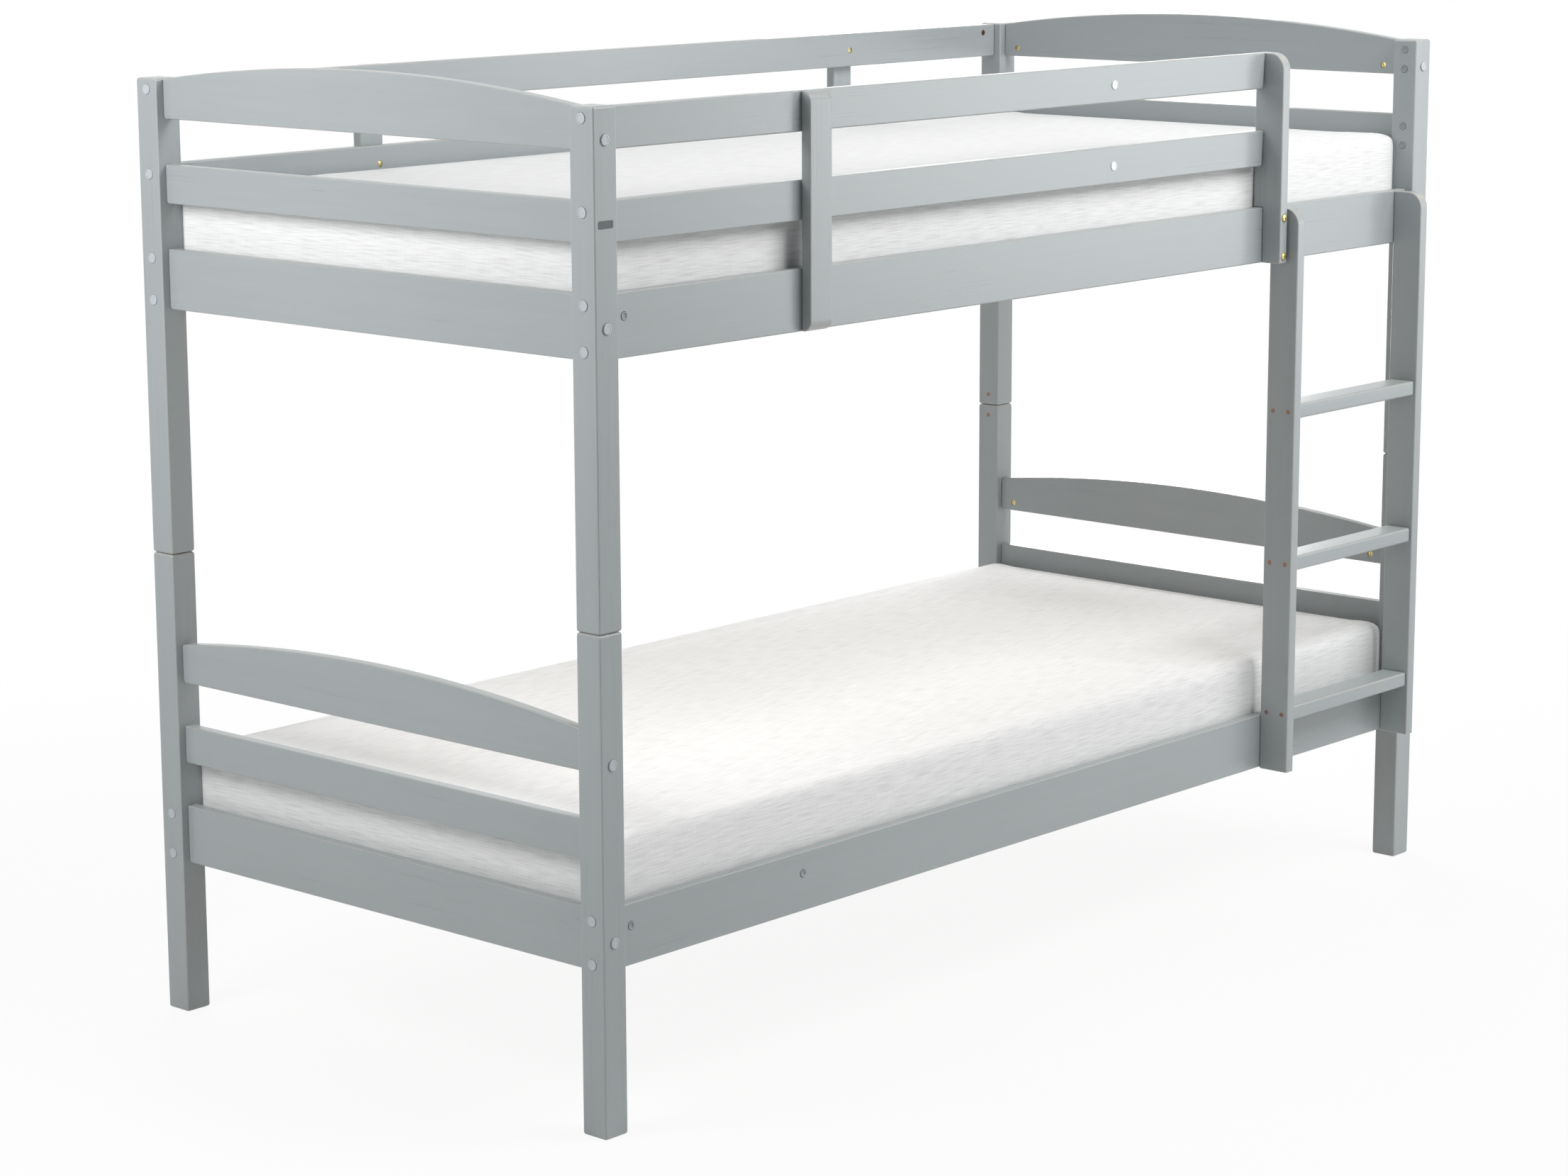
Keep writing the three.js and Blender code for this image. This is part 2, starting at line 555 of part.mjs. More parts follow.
// A bed base: a ledger on each side rail and a roll of slats lying on them,
// its slats held at their spacing by two tapes under them.
function buildBase(level, base) {
  const group = new THREE.Group();
  const ledgerLength = SIDE_RAIL_LENGTH - 2 * BOARD_CORNER;
  const innerY = RAIL_INNER_Y - JOINT_GAP;
  for (const side of SIDES) {
    const outline = roundedRectangle(ledgerLength, LEDGER_HEIGHT, evenCorners(LEDGER_EDGE + 0.5));
    const geometry = boardFrom(outline, LEDGER_DEPTH, LEDGER_EDGE);
    geometry.translate(-ledgerLength / 2, 0, 0);
    group.add(piece(`${level}_slat_ledger_${side.name}`, geometry, bareWood, 0,
      side.sign * (innerY - LEDGER_DEPTH / 2), base));
  }
  const slatLength = 2 * (RAIL_INNER_Y - SLAT_END_PLAY);
  const rollLength = 2 * (INNER_POST_X - SLAT_END_PLAY);
  const pitch = (rollLength - SLAT_WIDTH) / (SLAT_COUNT - 1);
  const slats = [];
  for (let index = 0; index < SLAT_COUNT; index += 1) {
    const slat = new THREE.BoxGeometry(SLAT_WIDTH, slatLength, SLAT_THICKNESS);
    slat.translate(-rollLength / 2 + SLAT_WIDTH / 2 + index * pitch, 0, SLAT_THICKNESS / 2);
    slats.push(slat);
  }
  const tapes = [-1, 1].map((sign) => {
    const tape = new THREE.BoxGeometry(rollLength - SLAT_WIDTH, TAPE_WIDTH, TAPE_THICKNESS + OVERLAP);
    tape.translate(0, sign * (slatLength / 2 - TAPE_INSET), (OVERLAP - TAPE_THICKNESS) / 2);
    return tape;
  });
  const roll = shaped(slats[0], [...tapes, ...slats.slice(1)], []);
  group.add(piece(`${level}_slat_roll`, roll, bareWood, 0, 0, base + SLAT_LIFT));
  return group;
}

// How far each ring of a mattress's side is drawn in from its plan outline, and
// its height: a rounded lower edge, an upright side and a rounded upper edge.
function mattressRings() {
  const rings = [];
  const steps = 3;
  for (let step = 0; step <= steps; step += 1) {
    const angle = (Math.PI / 2) * (step / steps);
    rings.push({ inset: MATTRESS_EDGE * (1 - Math.sin(angle)), z: MATTRESS_EDGE * (1 - Math.cos(angle)) });
  }
  for (let step = 0; step <= steps; step += 1) {
    const angle = (Math.PI / 2) * (step / steps);
    rings.push({
      inset: MATTRESS_EDGE * (1 - Math.cos(angle)),
      z: MATTRESS_HEIGHT - MATTRESS_EDGE * (1 - Math.sin(angle)),
    });
  }
  return rings;
}

// The mattress's plan outline at an inset: a rounded rectangle whose long and
// short sides are drawn in a little between its corners.
function mattressOutline(inset) {
  const halfLength = MATTRESS_LENGTH / 2 - inset;
  const halfWidth = MATTRESS_WIDTH / 2 - inset;
  const radius = MATTRESS_CORNER - inset;
  const cornerSteps = 5;
  const sideSteps = { long: 9, short: 5 };
  const points = [];
  const corners = [[1, 1, 0], [-1, 1, 1], [-1, -1, 2], [1, -1, 3]];
  corners.forEach(([sx, sy, quarter]) => {
    for (let step = 0; step <= cornerSteps; step += 1) {
      const angle = (Math.PI / 2) * (quarter + step / cornerSteps);
      points.push([
        sx * (halfLength - radius) + radius * Math.cos(angle),
        sy * (halfWidth - radius) + radius * Math.sin(angle),
      ]);
    }
    const alongX = quarter % 2 === 0;
    const count = alongX ? sideSteps.long : sideSteps.short;
    const reach = alongX ? halfLength - radius : halfWidth - radius;
    for (let step = 1; step < count; step += 1) {
      const share = 1 - (2 * step) / count;
      const waist = MATTRESS_WAIST * (1 - share * share);
      if (alongX) points.push([sx * share * reach, sy * (halfWidth - waist)]);
      else points.push([sx * (halfLength - waist), sy * share * reach]);
    }
  });
  return points;
}

// A mattress lying on Z = 0, flat below and crowned above.
function mattress() {
  const positions = [];
  const faces = [];
  const rings = mattressRings().map(({ inset, z }) => mattressOutline(inset).map(([x, y]) => [x, y, z]));
  const topOutline = mattressOutline(MATTRESS_EDGE);
  const crownAt = (share) => MATTRESS_HEIGHT + MATTRESS_CROWN * (1 - share * share);
  for (const share of [0.85, 0.6, 0.3]) {
    rings.push(topOutline.map(([x, y]) => [x * share, y * share, crownAt(share)]));
  }
  const around = topOutline.length;
  for (const ring of rings) for (const point of ring) positions.push(...point);
  for (let ring = 0; ring < rings.length - 1; ring += 1) {
    for (let step = 0; step < around; step += 1) {
      const next = (step + 1) % around;
      const a = ring * around + step;
      const b = ring * around + next;
      faces.push(a, b, b + around, a, b + around, a + around);
    }
  }
  const under = positions.length / 3;
  positions.push(0, 0, 0, 0, 0, crownAt(0));
  const last = (rings.length - 1) * around;
  for (let step = 0; step < around; step += 1) {
    const next = (step + 1) % around;
    faces.push(under, next, step, under + 1, last + step, last + next);
  }
  const geometry = new THREE.BufferGeometry();
  geometry.setAttribute('position', new THREE.Float32BufferAttribute(positions, 3));
  geometry.setIndex(faces);
  geometry.computeVertexNormals();
  return geometry;
}

const bunkBed = new THREE.Group();
bunkBed.name = 'bunk_bed';
bunkBed.position.y = (FRONT_REACH - BACK_REACH) / 2;
bunkBed.add(
  buildPosts(),
  buildEndPanels(),
  buildSideRails(),
  buildGuardRails(),
  buildFlatUprights(),
  buildEndUpright(),
  buildLadder(),
  buildBase('lower', LOWER_RAIL_BASE),
  buildBase('upper', UPPER_RAIL_BASE),
  piece('lower_mattress', mattress(), linen, 0, 0, LOWER_RAIL_BASE + MATTRESS_LIFT),
  piece('upper_mattress', mattress(), linen, 0, 0, UPPER_RAIL_BASE + MATTRESS_LIFT),
);

export default bunkBed;
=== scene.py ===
# %% [markdown]
# A bunk bed in grey satin paint, modelled piece by piece.
#
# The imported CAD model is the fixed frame. It says how big everything is and where it stands, so
# every piece below reads its place from a CAD node and then gives that node its real looks:
# rounded timber, paint over pine, woven mattress covers, caps, screws and slats. The sizes could
# be typed in again here, but then the two models could drift apart. All lengths are in metres. X
# runs along the bed, the ladder stands on the -Y side and Z is up.

import bmesh
import bpy
import math
from mathutils import Matrix, Vector


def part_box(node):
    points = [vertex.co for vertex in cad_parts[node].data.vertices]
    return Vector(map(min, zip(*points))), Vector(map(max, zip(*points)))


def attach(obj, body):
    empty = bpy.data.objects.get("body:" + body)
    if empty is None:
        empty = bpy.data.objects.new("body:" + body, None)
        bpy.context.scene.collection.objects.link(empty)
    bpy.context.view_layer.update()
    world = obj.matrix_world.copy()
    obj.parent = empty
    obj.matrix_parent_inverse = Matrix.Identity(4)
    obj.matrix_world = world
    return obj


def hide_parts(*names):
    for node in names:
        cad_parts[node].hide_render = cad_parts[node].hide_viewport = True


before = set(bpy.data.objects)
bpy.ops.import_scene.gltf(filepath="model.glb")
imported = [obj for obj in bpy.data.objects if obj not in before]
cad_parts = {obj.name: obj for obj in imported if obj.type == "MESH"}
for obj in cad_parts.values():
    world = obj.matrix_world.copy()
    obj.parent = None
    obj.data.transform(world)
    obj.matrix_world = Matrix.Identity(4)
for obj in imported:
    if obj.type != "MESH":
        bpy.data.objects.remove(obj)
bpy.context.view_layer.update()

# %% [markdown]
# The camera stands where the photographer stood: off the front corner at the head end, 1.8 metres
# above the floor and about six metres away. It could be moved by eye until the picture looks
# right. Its angles, distance and lens come instead from a perspective fit to the edges of the
# posts and rails, because a small error in the angle shows at once in the long rails.

# %% Camera
PICTURE_WIDTH = 2212
LENS_PIXELS = 5440.36
AZIMUTH = 0.84103
ELEVATION = 0.19654
ROLL = -0.00358
DISTANCE = 6.3592
bed_middle_y = (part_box("lower_post_front_head")[0].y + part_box("lower_post_back_head")[1].y) / 2
AIM = Vector((-0.11455, bed_middle_y, 0.6002))

camera_data = bpy.data.cameras.new("camera")
camera_data.sensor_width = 36.0
camera_data.lens = LENS_PIXELS / PICTURE_WIDTH * camera_data.sensor_width
camera_data.clip_end = 60.0
camera = bpy.data.objects.new("camera", camera_data)
bpy.context.collection.objects.link(camera)
level_step = math.cos(ELEVATION)
view_direction = Vector((math.sin(AZIMUTH) * level_step, math.cos(AZIMUTH) * level_step,
                         -math.sin(ELEVATION)))
camera.matrix_world = (Matrix.Translation(AIM - view_direction * DISTANCE)
                       @ Matrix.Rotation(-AZIMUTH, 4, "Z")
                       @ Matrix.Rotation(math.pi / 2 - ELEVATION, 4, "X") @ Matrix.Rotation(ROLL, 4, "Z"))
bpy.context.scene.camera = camera
print("camera at", [round(value, 3) for value in camera.matrix_world.translation],
      "lens", round(camera_data.lens, 1))

# %% [markdown]
# A material is a small network of nodes. It could be built one node and one link at a time, which
# takes many lines and hides what the network does. Here an output is handed on as the pair (node,
# name of the output), and a helper that is given such a pair as a value links it. So a network
# reads like a sum: what noise, waves and sums give goes straight into the next call.

# %% Helpers for nodes and links
def fill(tree, node, values):
    """Sets a node's inputs. A value that is a pair (node, output) becomes a link."""
    for key, value in values.items():
        if isinstance(value, tuple) and isinstance(value[0], bpy.types.Node):
            tree.links.new(value[0].outputs[value[1]], node.inputs[key])
        else:
            node.inputs[key].default_value = value


def add(tree, kind, values=None, **settings):
    """Adds a node, sets its properties and then its inputs."""
    made = tree.nodes.new(kind)
    for key, value in settings.items():
        setattr(made, key, value)
    fill(tree, made, values or {})
    return made

# %% Helpers for colours, sums and blends
def linear(red, green, blue):
    """A colour as seen on screen, 0 to 255, as the linear values that a shader takes."""
    return tuple(((value / 255 + 0.055) / 1.055) ** 2.4 for value in (red, green, blue)) + (1.0,)


def maths(tree, operation, first, second, **settings):
    return add(tree, "ShaderNodeMath", {0: first, 1: second}, operation=operation, **settings), "Value"


def spread(tree, value, low, high, to_low=0.0, to_high=1.0, **settings):
    """Maps the values between low and high onto another range."""
    ranges = {"Value": value, "From Min": low, "From Max": high, "To Min": to_low, "To Max": to_high}
    return add(tree, "ShaderNodeMapRange", ranges, **settings), "Result"


def blend(tree, share, first, second):
    """Blends two numbers."""
    return add(tree, "ShaderNodeMix", {0: share, 2: first, 3: second}, data_type="FLOAT"), 0


def blend_colours(tree, share, first, second):
    return add(tree, "ShaderNodeMix", {0: share, 6: first, 7: second}, data_type="RGBA"), 2

# %% Helpers for patterns
def noise(tree, place, scale, detail, roughness=0.5, distortion=0.0, **settings):
    values = {"Vector": place, "Scale": scale, "Detail": detail, "Roughness": roughness,
              "Distortion": distortion}
    return add(tree, "ShaderNodeTexNoise", values, **settings), "Fac"


def waves(tree, place, direction, scale, distortion, detail=2.0, detail_scale=1.0):
    values = {"Vector": place, "Scale": scale, "Distortion": distortion, "Detail": detail,
              "Detail Scale": detail_scale}
    return add(tree, "ShaderNodeTexWave", values, bands_direction=direction), "Fac"


def stretched(tree, place, scale):
    """Draws a pattern out by a scale along each axis."""
    return add(tree, "ShaderNodeMapping", {"Vector": place, "Scale": scale}), "Vector"

# %% [markdown]
# What several materials share is kept in a node group with named inputs and outputs, so that a
# change to it reaches them all. Every material starts from the same Principled shader, and its
# pattern reads Object coordinates. Each finished piece has its place in its mesh, so the pattern
# stays put and runs on from board to board without repeating.

# %% Helpers for groups and materials
def group(name, inputs, outputs):
    """Opens a node group whose sockets are given by name, each with its kind."""
    tree = bpy.data.node_groups.new(name, "ShaderNodeTree")
    for in_out, sockets in (("INPUT", inputs), ("OUTPUT", outputs)):
        for label, kind in sockets.items():
            tree.interface.new_socket(name=label, in_out=in_out, socket_type="NodeSocket" + kind)
    return tree, tree.nodes.new("NodeGroupInput"), tree.nodes.new("NodeGroupOutput")


def new_material(name):
    """A material with its shader, and the place on the object that its pattern reads."""
    material = bpy.data.materials.new(name)
    material.use_nodes = True
    tree = material.node_tree
    return material, tree, tree.nodes["Principled BSDF"], (add(tree, "ShaderNodeTexCoord"), "Object")


def raise_surface(tree, shader, height, strength, distance):
    """Lets a pattern stand out of a shader's surface."""
    relief = add(tree, "ShaderNodeBump", {"Height": height, "Strength": strength, "Distance": distance})
    fill(tree, shader, {"Normal": (relief, "Normal")})

# %% [markdown]
# Satin paint on planed pine still shows the timber: the grain stands up in fine streaks along the
# board, and the brush leaves longer and softer ones. On the rounded edges the paint turns a little
# paler, partly where it is rubbed and partly as a painted highlight, for the light that the rounded
# arrises catch. A picture of painted wood would repeat and would stretch on boards of different
# lengths. Noise that is drawn out along the board has no seams and fits them all. The group takes
# a place already stretched along the grain, and puts out a colour, a roughness and a height.

# %% Node group: paint over pine grain
tree, given, out = group("Paint over pine", {
    "Place": "Vector", "Along grain": "Vector", "Edge": "Float", "Paint": "Color", "Rubbed and highlit": "Color",
    "Grain": "Float", "Roughness": "Float",
}, {"Color": "Color", "Roughness": "Float", "Height": "Float"})
along_grain = (given, "Along grain")
streaks = noise(tree, along_grain, scale=1.0, detail=4.0, roughness=0.62, distortion=0.25)
broad = noise(tree, along_grain, scale=0.21, detail=2.0)
clouds = noise(tree, (given, "Place"), scale=3.2, detail=2.0)
# Streaks, broad bands and clouds add up to a change of a few parts in a hundred
height = blend(tree, 0.3, blend(tree, 0.45, streaks, broad), clouds)
centred = maths(tree, "SUBTRACT", height, 0.5)
level = maths(tree, "ADD", maths(tree, "MULTIPLY", centred, (given, "Grain")), 1.0)
toned = add(tree, "ShaderNodeVectorMath", {0: (given, "Paint"), "Scale": level}, operation="SCALE")
# The edges turn paler where they are round and the clouds are thick: partly real wear, partly a painted
# highlight
patches = spread(tree, clouds, 0.42, 0.62, to_low=0.40, to_high=0.85)
wear_and_highlight = maths(tree, "MULTIPLY", (given, "Edge"), patches)
gloss = maths(tree, "ADD", maths(tree, "MULTIPLY", centred, 0.22), (given, "Roughness"))
colour = blend_colours(tree, wear_and_highlight, (toned, 0), (given, "Rubbed and highlit"))
fill(tree, out, {"Color": colour, "Roughness": gloss, "Height": height})
paint_over_pine = tree
print("paint group:", len(tree.nodes), "nodes")

# %% [markdown]
# The grain follows the length of each board. One material could turn its pattern by a value kept
# on each piece. Three versions that differ only in the direction in which the pattern is drawn
# out are plainer, and each board simply takes the one of its own axis.

# %% Grey paint along each axis
X, Y, Z = 0, 1, 2


def board_scale(axis, along, across):
    """A scale that draws a grain out along a board's axis."""
    return [along if i == axis else across for i in range(3)]


def grey_paint_along(axis):
    material, tree, shader, place = new_material("grey_paint_along_" + "xyz"[axis])
    paint = add(tree, "ShaderNodeGroup", {
        "Place": place, "Along grain": stretched(tree, place, board_scale(axis, along=5.0, across=190.0)),
        "Edge": (add(tree, "ShaderNodeAttribute", attribute_name="rounded"), "Fac"),
        # The paler edge colour is partly real wear and partly a painted highlight on the rounded edges
        "Paint": linear(166, 172, 174), "Rubbed and highlit": linear(190, 186, 176), "Grain": 0.24, "Roughness": 0.30,
    }, node_tree=paint_over_pine)
    fill(tree, shader, {"Base Color": (paint, "Color"), "Roughness": (paint, "Roughness")})
    raise_surface(tree, shader, (paint, "Height"), strength=0.26, distance=0.0004)
    return material


grey_paint = [grey_paint_along(axis) for axis in (X, Y, Z)]
print("paints:", [material.name for material in grey_paint])

# %% [markdown]
# The slats and ledgers are planed and left bare. The year rings could be cut from true cylinders
# round the heart of a tree, but a board shows only a narrow band of them. A wave pattern that is
# pushed about by noise and drawn out along the board gives the same broken lines, with a few
# darker knots.

# %% Node group: bare pine
KNOT_BROWN = linear(120, 74, 38)
tree, given, out = group("Bare pine grain", {
    "Along grain": "Vector", "Place": "Vector", "Early wood": "Color", "Late wood": "Color",
}, {"Color": "Color", "Height": "Float"})
along_grain = (given, "Along grain")
rings = waves(tree, along_grain, "DIAGONAL", scale=0.55, distortion=7.0, detail=3.0, detail_scale=0.7)
fibres = noise(tree, along_grain, scale=6.0, detail=3.0, roughness=0.6)
grain = blend(tree, 0.4, rings, fibres)
knots = add(tree, "ShaderNodeTexVoronoi", {"Vector": (given, "Place"), "Scale": 4.6, "Randomness": 1.0})
spots = spread(tree, (knots, "Distance"), 0.03, 0.09, to_low=0.85, to_high=0.0)
wood = blend_colours(tree, grain, (given, "Early wood"), (given, "Late wood"))
fill(tree, out, {"Color": blend_colours(tree, spots, wood, KNOT_BROWN), "Height": grain})
bare_pine_grain = tree
print("pine group:", len(tree.nodes), "nodes")

# %% Bare pine along each axis
def bare_pine_along(axis):
    material, tree, shader, place = new_material("bare_pine_along_" + "xyz"[axis])
    pine = add(tree, "ShaderNodeGroup", {
        "Place": place, "Along grain": stretched(tree, place, board_scale(axis, along=4.0, across=95.0)),
        "Early wood": linear(236, 226, 208), "Late wood": linear(218, 202, 176),
    }, node_tree=bare_pine_grain)
    fill(tree, shader, {"Base Color": (pine, "Color"), "Roughness": 0.62})
    raise_surface(tree, shader, (pine, "Height"), strength=0.3, distance=0.0004)
    return material


bare_pine = [bare_pine_along(axis) for axis in (X, Y)]
print("timbers:", [material.name for material in bare_pine])

# %% [markdown]
# The screws and nuts are plated steel and brass. A plain metal with one roughness would look like
# a mirror with a tint. Real plating is never quite even: fine scratches change how sharply it
# mirrors, and it tarnishes in blotches. One group breaks up copper, brass and zinc alike, and
# only their colours differ.

# %% Node group: plated metal
tree, given, out = group("Plated metal", {
    "Place": "Vector", "Plating": "Color", "Tarnish": "Color", "Roughness": "Float",
}, {"Color": "Color", "Roughness": "Float", "Height": "Float"})
blotches = noise(tree, (given, "Place"), scale=420.0, detail=3.0)
scratches = noise(tree, (given, "Place"), scale=2600.0, detail=2.0)
amount = spread(tree, blotches, 0.45, 0.75, to_high=0.7)
rough = maths(tree, "ADD", maths(tree, "MULTIPLY", scratches, 0.18), (given, "Roughness"))
colour = blend_colours(tree, amount, (given, "Plating"), (given, "Tarnish"))
fill(tree, out, {"Color": colour, "Roughness": rough, "Height": scratches})
plated_metal = tree

# %% Brass, copper and zinc
def metal(name, plating, tarnish, roughness):
    material, tree, shader, place = new_material(name)
    plate = add(tree, "ShaderNodeGroup", {
        "Place": place, "Plating": plating, "Tarnish": tarnish, "Roughness": roughness,
    }, node_tree=plated_metal)
    fill(tree, shader, {"Base Color": (plate, "Color"), "Roughness": (plate, "Roughness"), "Metallic": 1.0})
    raise_surface(tree, shader, (plate, "Height"), strength=0.2, distance=0.0001)
    return material


brass = metal("yellow_brass", linear(212, 198, 140), linear(120, 105, 50), 0.24)
copper = metal("copper_plating", linear(150, 100, 75), linear(80, 50, 40), 0.3)
zinc = metal("zinc_plating", linear(186, 188, 190), linear(130, 134, 138), 0.34)
print("metals:", [material.name for material in (brass, copper, zinc)])

# %% [markdown]
# The caps, the plugs and the mark bar are moulded plastic. It is even in colour, so one flat
# colour comes close, but then a highlight on it has a hard and perfect edge. A fine noise in the
# colour and the height stands for the flow of the plastic in its mould and softens that edge.

# %% Plastics for the caps, the plugs and the mark bar
def moulded_plastic(name, colour, shadow, roughness):
    material, tree, shader, place = new_material(name)
    flow = noise(tree, place, scale=260.0, detail=2.0)
    fill(tree, shader, {"Base Color": blend_colours(tree, flow, shadow, colour), "Roughness": roughness})
    raise_surface(tree, shader, flow, strength=0.15, distance=0.0001)
    return material


grey_cap = moulded_plastic("pale_grey_cap", linear(198, 204, 208), linear(180, 186, 190), 0.32)
white_cap = moulded_plastic("white_cap", linear(240, 242, 243), linear(226, 229, 231), 0.35)
grey_plug = moulded_plastic("grey_plug", linear(160, 166, 169), linear(144, 150, 153), 0.4)
dark_mark = moulded_plastic("dark_grey_mark", linear(98, 102, 106), linear(84, 88, 92), 0.5)
print("plastics:", [material.name for material in (grey_cap, white_cap, grey_plug, dark_mark)])

# %% [markdown]
# The mattress cover is white with a linen look: mostly even plain weave, and here and there a
# thicker grey thread, called a slub, that runs a few centimetres along the cloth. Modelled
# threads would cross each other hundreds of thousands of times, so the weave is a pattern. It has
# to follow the cloth round its corners, so it reads a UV map in metres that is written after the
# mattress has its final shape.

# %% Node group: linen-look weave
# A wave texture of scale 1 has a band every 0.314 m; the cloth has a thread every 2 mm
THREAD_RIBS = 0.314 / 0.0020
tree, given, out = group("Slub weave", {"Cloth": "Vector", "Ground": "Color", "Slub": "Color"},
                         {"Color": "Color", "Height": "Float"})
cloth = (given, "Cloth")


def threads(along, across, low, high):
    drawn = stretched(tree, cloth, (along, across, 1.0))
    drawn = noise(tree, drawn, scale=1.0, detail=0.0, roughness=0.55, noise_dimensions="2D")
    return spread(tree, drawn, low, high)


ribs = [waves(tree, cloth, direction, THREAD_RIBS, distortion=0.3, detail=0.0) for direction in "XY"]
# How much each kind of thread greys the cloth
shares = [(threads(along=22.0, across=700.0, low=0.40, high=0.78), 0.42),
          (threads(along=420.0, across=30.0, low=0.42, high=0.80), 0.07),
          (maths(tree, "MULTIPLY", *ribs), 0.30)]
slubs, cross_threads, plain = (maths(tree, "MULTIPLY", pattern, share) for pattern, share in shares)
total = maths(tree, "ADD", maths(tree, "ADD", slubs, cross_threads), plain, use_clamp=True)
colour = blend_colours(tree, total, (given, "Ground"), (given, "Slub"))
fill(tree, out, {"Color": colour, "Height": total})
slub_weave = tree
print("weave group:", len(tree.nodes), "nodes")

# %% The mattress cover
mattress_cover, tree, shader, place = new_material("mattress_cover")
weave = add(tree, "ShaderNodeGroup", {
    "Cloth": (add(tree, "ShaderNodeUVMap", uv_map="cloth"), "UV"),
    "Ground": linear(246, 246, 246), "Slub": linear(206, 206, 206),
}, node_tree=slub_weave)
fill(tree, shader, {"Base Color": (weave, "Color"), "Roughness": 0.92, "Sheen Weight": 0.15,
                    "Sheen Roughness": 0.5})
raise_surface(tree, shader, (weave, "Height"), strength=0.12, distance=0.0002)
print("cloth:", mattress_cover.name)

# %% [markdown]
# The bed is put together from a few sizes that come back in every joint: the posts' faces, which
# all rails meet, and the heights of the bolts. They could be measured again for each piece.
# Reading them once from the CAD nodes keeps the caps on the outside in line with the nuts on the
# inside.

# %% Sizes read from the frame
LEVELS = ("lower", "upper")
CORNERS = [(side, end) for side in ("front", "back") for end in ("head", "foot")]
SIDE_SIGN = {"front": -1, "back": 1}
END_SIGN = {"head": -1, "foot": 1}


def middle_of(node):
    """The middle of a CAD node's box."""
    low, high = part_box(node)
    return (low + high) / 2


posts = {corner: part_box("upper_post_" + "_".join(corner)) for corner in CORNERS}
inner_x = posts["front", "foot"][0].x
inner_front_y = posts["front", "head"][1].y
inner_back_y = posts["back", "head"][0].y
post_middle = {corner: (low + high) / 2 for corner, (low, high) in posts.items()}
guard_base = [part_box("guard_rail_front_low")[0].z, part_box("guard_rail_front_high")[0].z]
print("posts' inner faces at x", round(inner_x, 4), "and y", round(inner_front_y, 4), round(inner_back_y, 4))

# %% Heights of the bolts
# Through each post, for the rails along X and for those along Y
SIDE_BOLT_LIFTS = (0.014, 0.078)
GUARD_BOLT_LIFT = 0.0445
ARCH_BOLT_LIFT = 0.015
bolts = {X: {level: [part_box(f"{level}_side_rail_front")[0].z + lift for lift in SIDE_BOLT_LIFTS]
             for level in LEVELS},
         Y: {level: [middle_of(f"{level}_head_bottom_rail").z,
                     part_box(f"{level}_head_arch_rail")[0].z + ARCH_BOLT_LIFT] for level in LEVELS}}
bolts[X]["upper"] += [base + GUARD_BOLT_LIFT for base in guard_base]
print("bolt heights:", bolts)

# %% [markdown]
# Timber furniture is a set of plain boards, and what makes them look real is how their edges are
# eased. A board could be drawn as an outline and extruded. A cube that is scaled to the board's
# box is quicker and always fits the frame. An operator acts on all that is selected, so the
# helpers below first select their own piece alone.

# %% Helpers for one piece at a time
def alone(piece):
    """Makes a piece the only selected and active one."""
    bpy.ops.object.select_all(action="DESELECT")
    piece.select_set(True)
    bpy.context.view_layer.objects.active = piece


def settle(piece):
    """Moves a piece's place, turn and size into its mesh, so that its object sits at the origin."""
    alone(piece)
    bpy.ops.object.transform_apply(location=True, rotation=True, scale=True)


def named(piece, name):
    """Gives a piece and its mesh a name."""
    piece.name = name
    piece.data.name = name
    return piece


def discard(*pieces):
    """Deletes the tools and patterns that have done their work."""
    for piece in pieces:
        bpy.data.objects.remove(piece)

# %% A block between two corners
def block(name, low, high):
    """A block between two corners."""
    low, high = Vector(low), Vector(high)
    bpy.ops.object.select_all(action="DESELECT")
    bpy.ops.mesh.primitive_cube_add(size=1, location=(low + high) / 2)
    piece = named(bpy.context.object, name)
    piece.scale = high - low
    settle(piece)
    return piece

# %% [markdown]
# A modifier can stay live on a piece or be applied. Here each is applied at once, so that the
# mesh is always what the next step sees. Faces are shaded smooth, but weighted normals keep the
# broad faces flat up to their rounded edges, as on planed timber. A value on each face says how
# far it turns away from the flat ones, and the paint reads it to show wear and a painted
# highlight on the rounded edges.

# %% Helpers for modifiers
def apply_modifier(piece, kind, **settings):
    """Adds a modifier with its settings and applies it at once."""
    alone(piece)
    bpy.ops.object.modifier_add(type=kind)
    modifier = piece.modifiers[-1]
    for key, value in settings.items():
        setattr(modifier, key, value)
    bpy.ops.object.modifier_apply(modifier=modifier.name)


def cut_out(piece, tool):
    """Cuts a tool's shape out of a piece and discards the tool."""
    apply_modifier(piece, "BOOLEAN", operation="DIFFERENCE", object=tool, solver="EXACT")
    discard(tool)

# %% Helpers for finishing a piece
FLAT_ANGLE = math.radians(38)
# How far a face must turn to get the full wear and painted highlight of a rounded edge
FULL_WEAR_AND_HIGHLIGHT = 0.28


def shade(piece):
    """Smooth shading that keeps flat faces flat."""
    alone(piece)
    bpy.ops.object.shade_smooth_by_angle(angle=FLAT_ANGLE)
    apply_modifier(piece, "WEIGHTED_NORMAL", keep_sharp=True)


def mark_edges(piece):
    """Writes how far each face turns away from the flat faces, for the wear and the painted highlight on
    rounded edges.
    """
    turned = piece.data.attributes.new("rounded", "FLOAT", "FACE")
    for face in piece.data.polygons:
        flatness = max(abs(value) for value in face.normal)
        turned.data[face.index].value = min(1.0, (1.0 - flatness) / FULL_WEAR_AND_HIGHLIGHT)


def coat(piece, material):
    """Makes a material the only one of a piece."""
    piece.data.materials.clear()
    piece.data.materials.append(material)


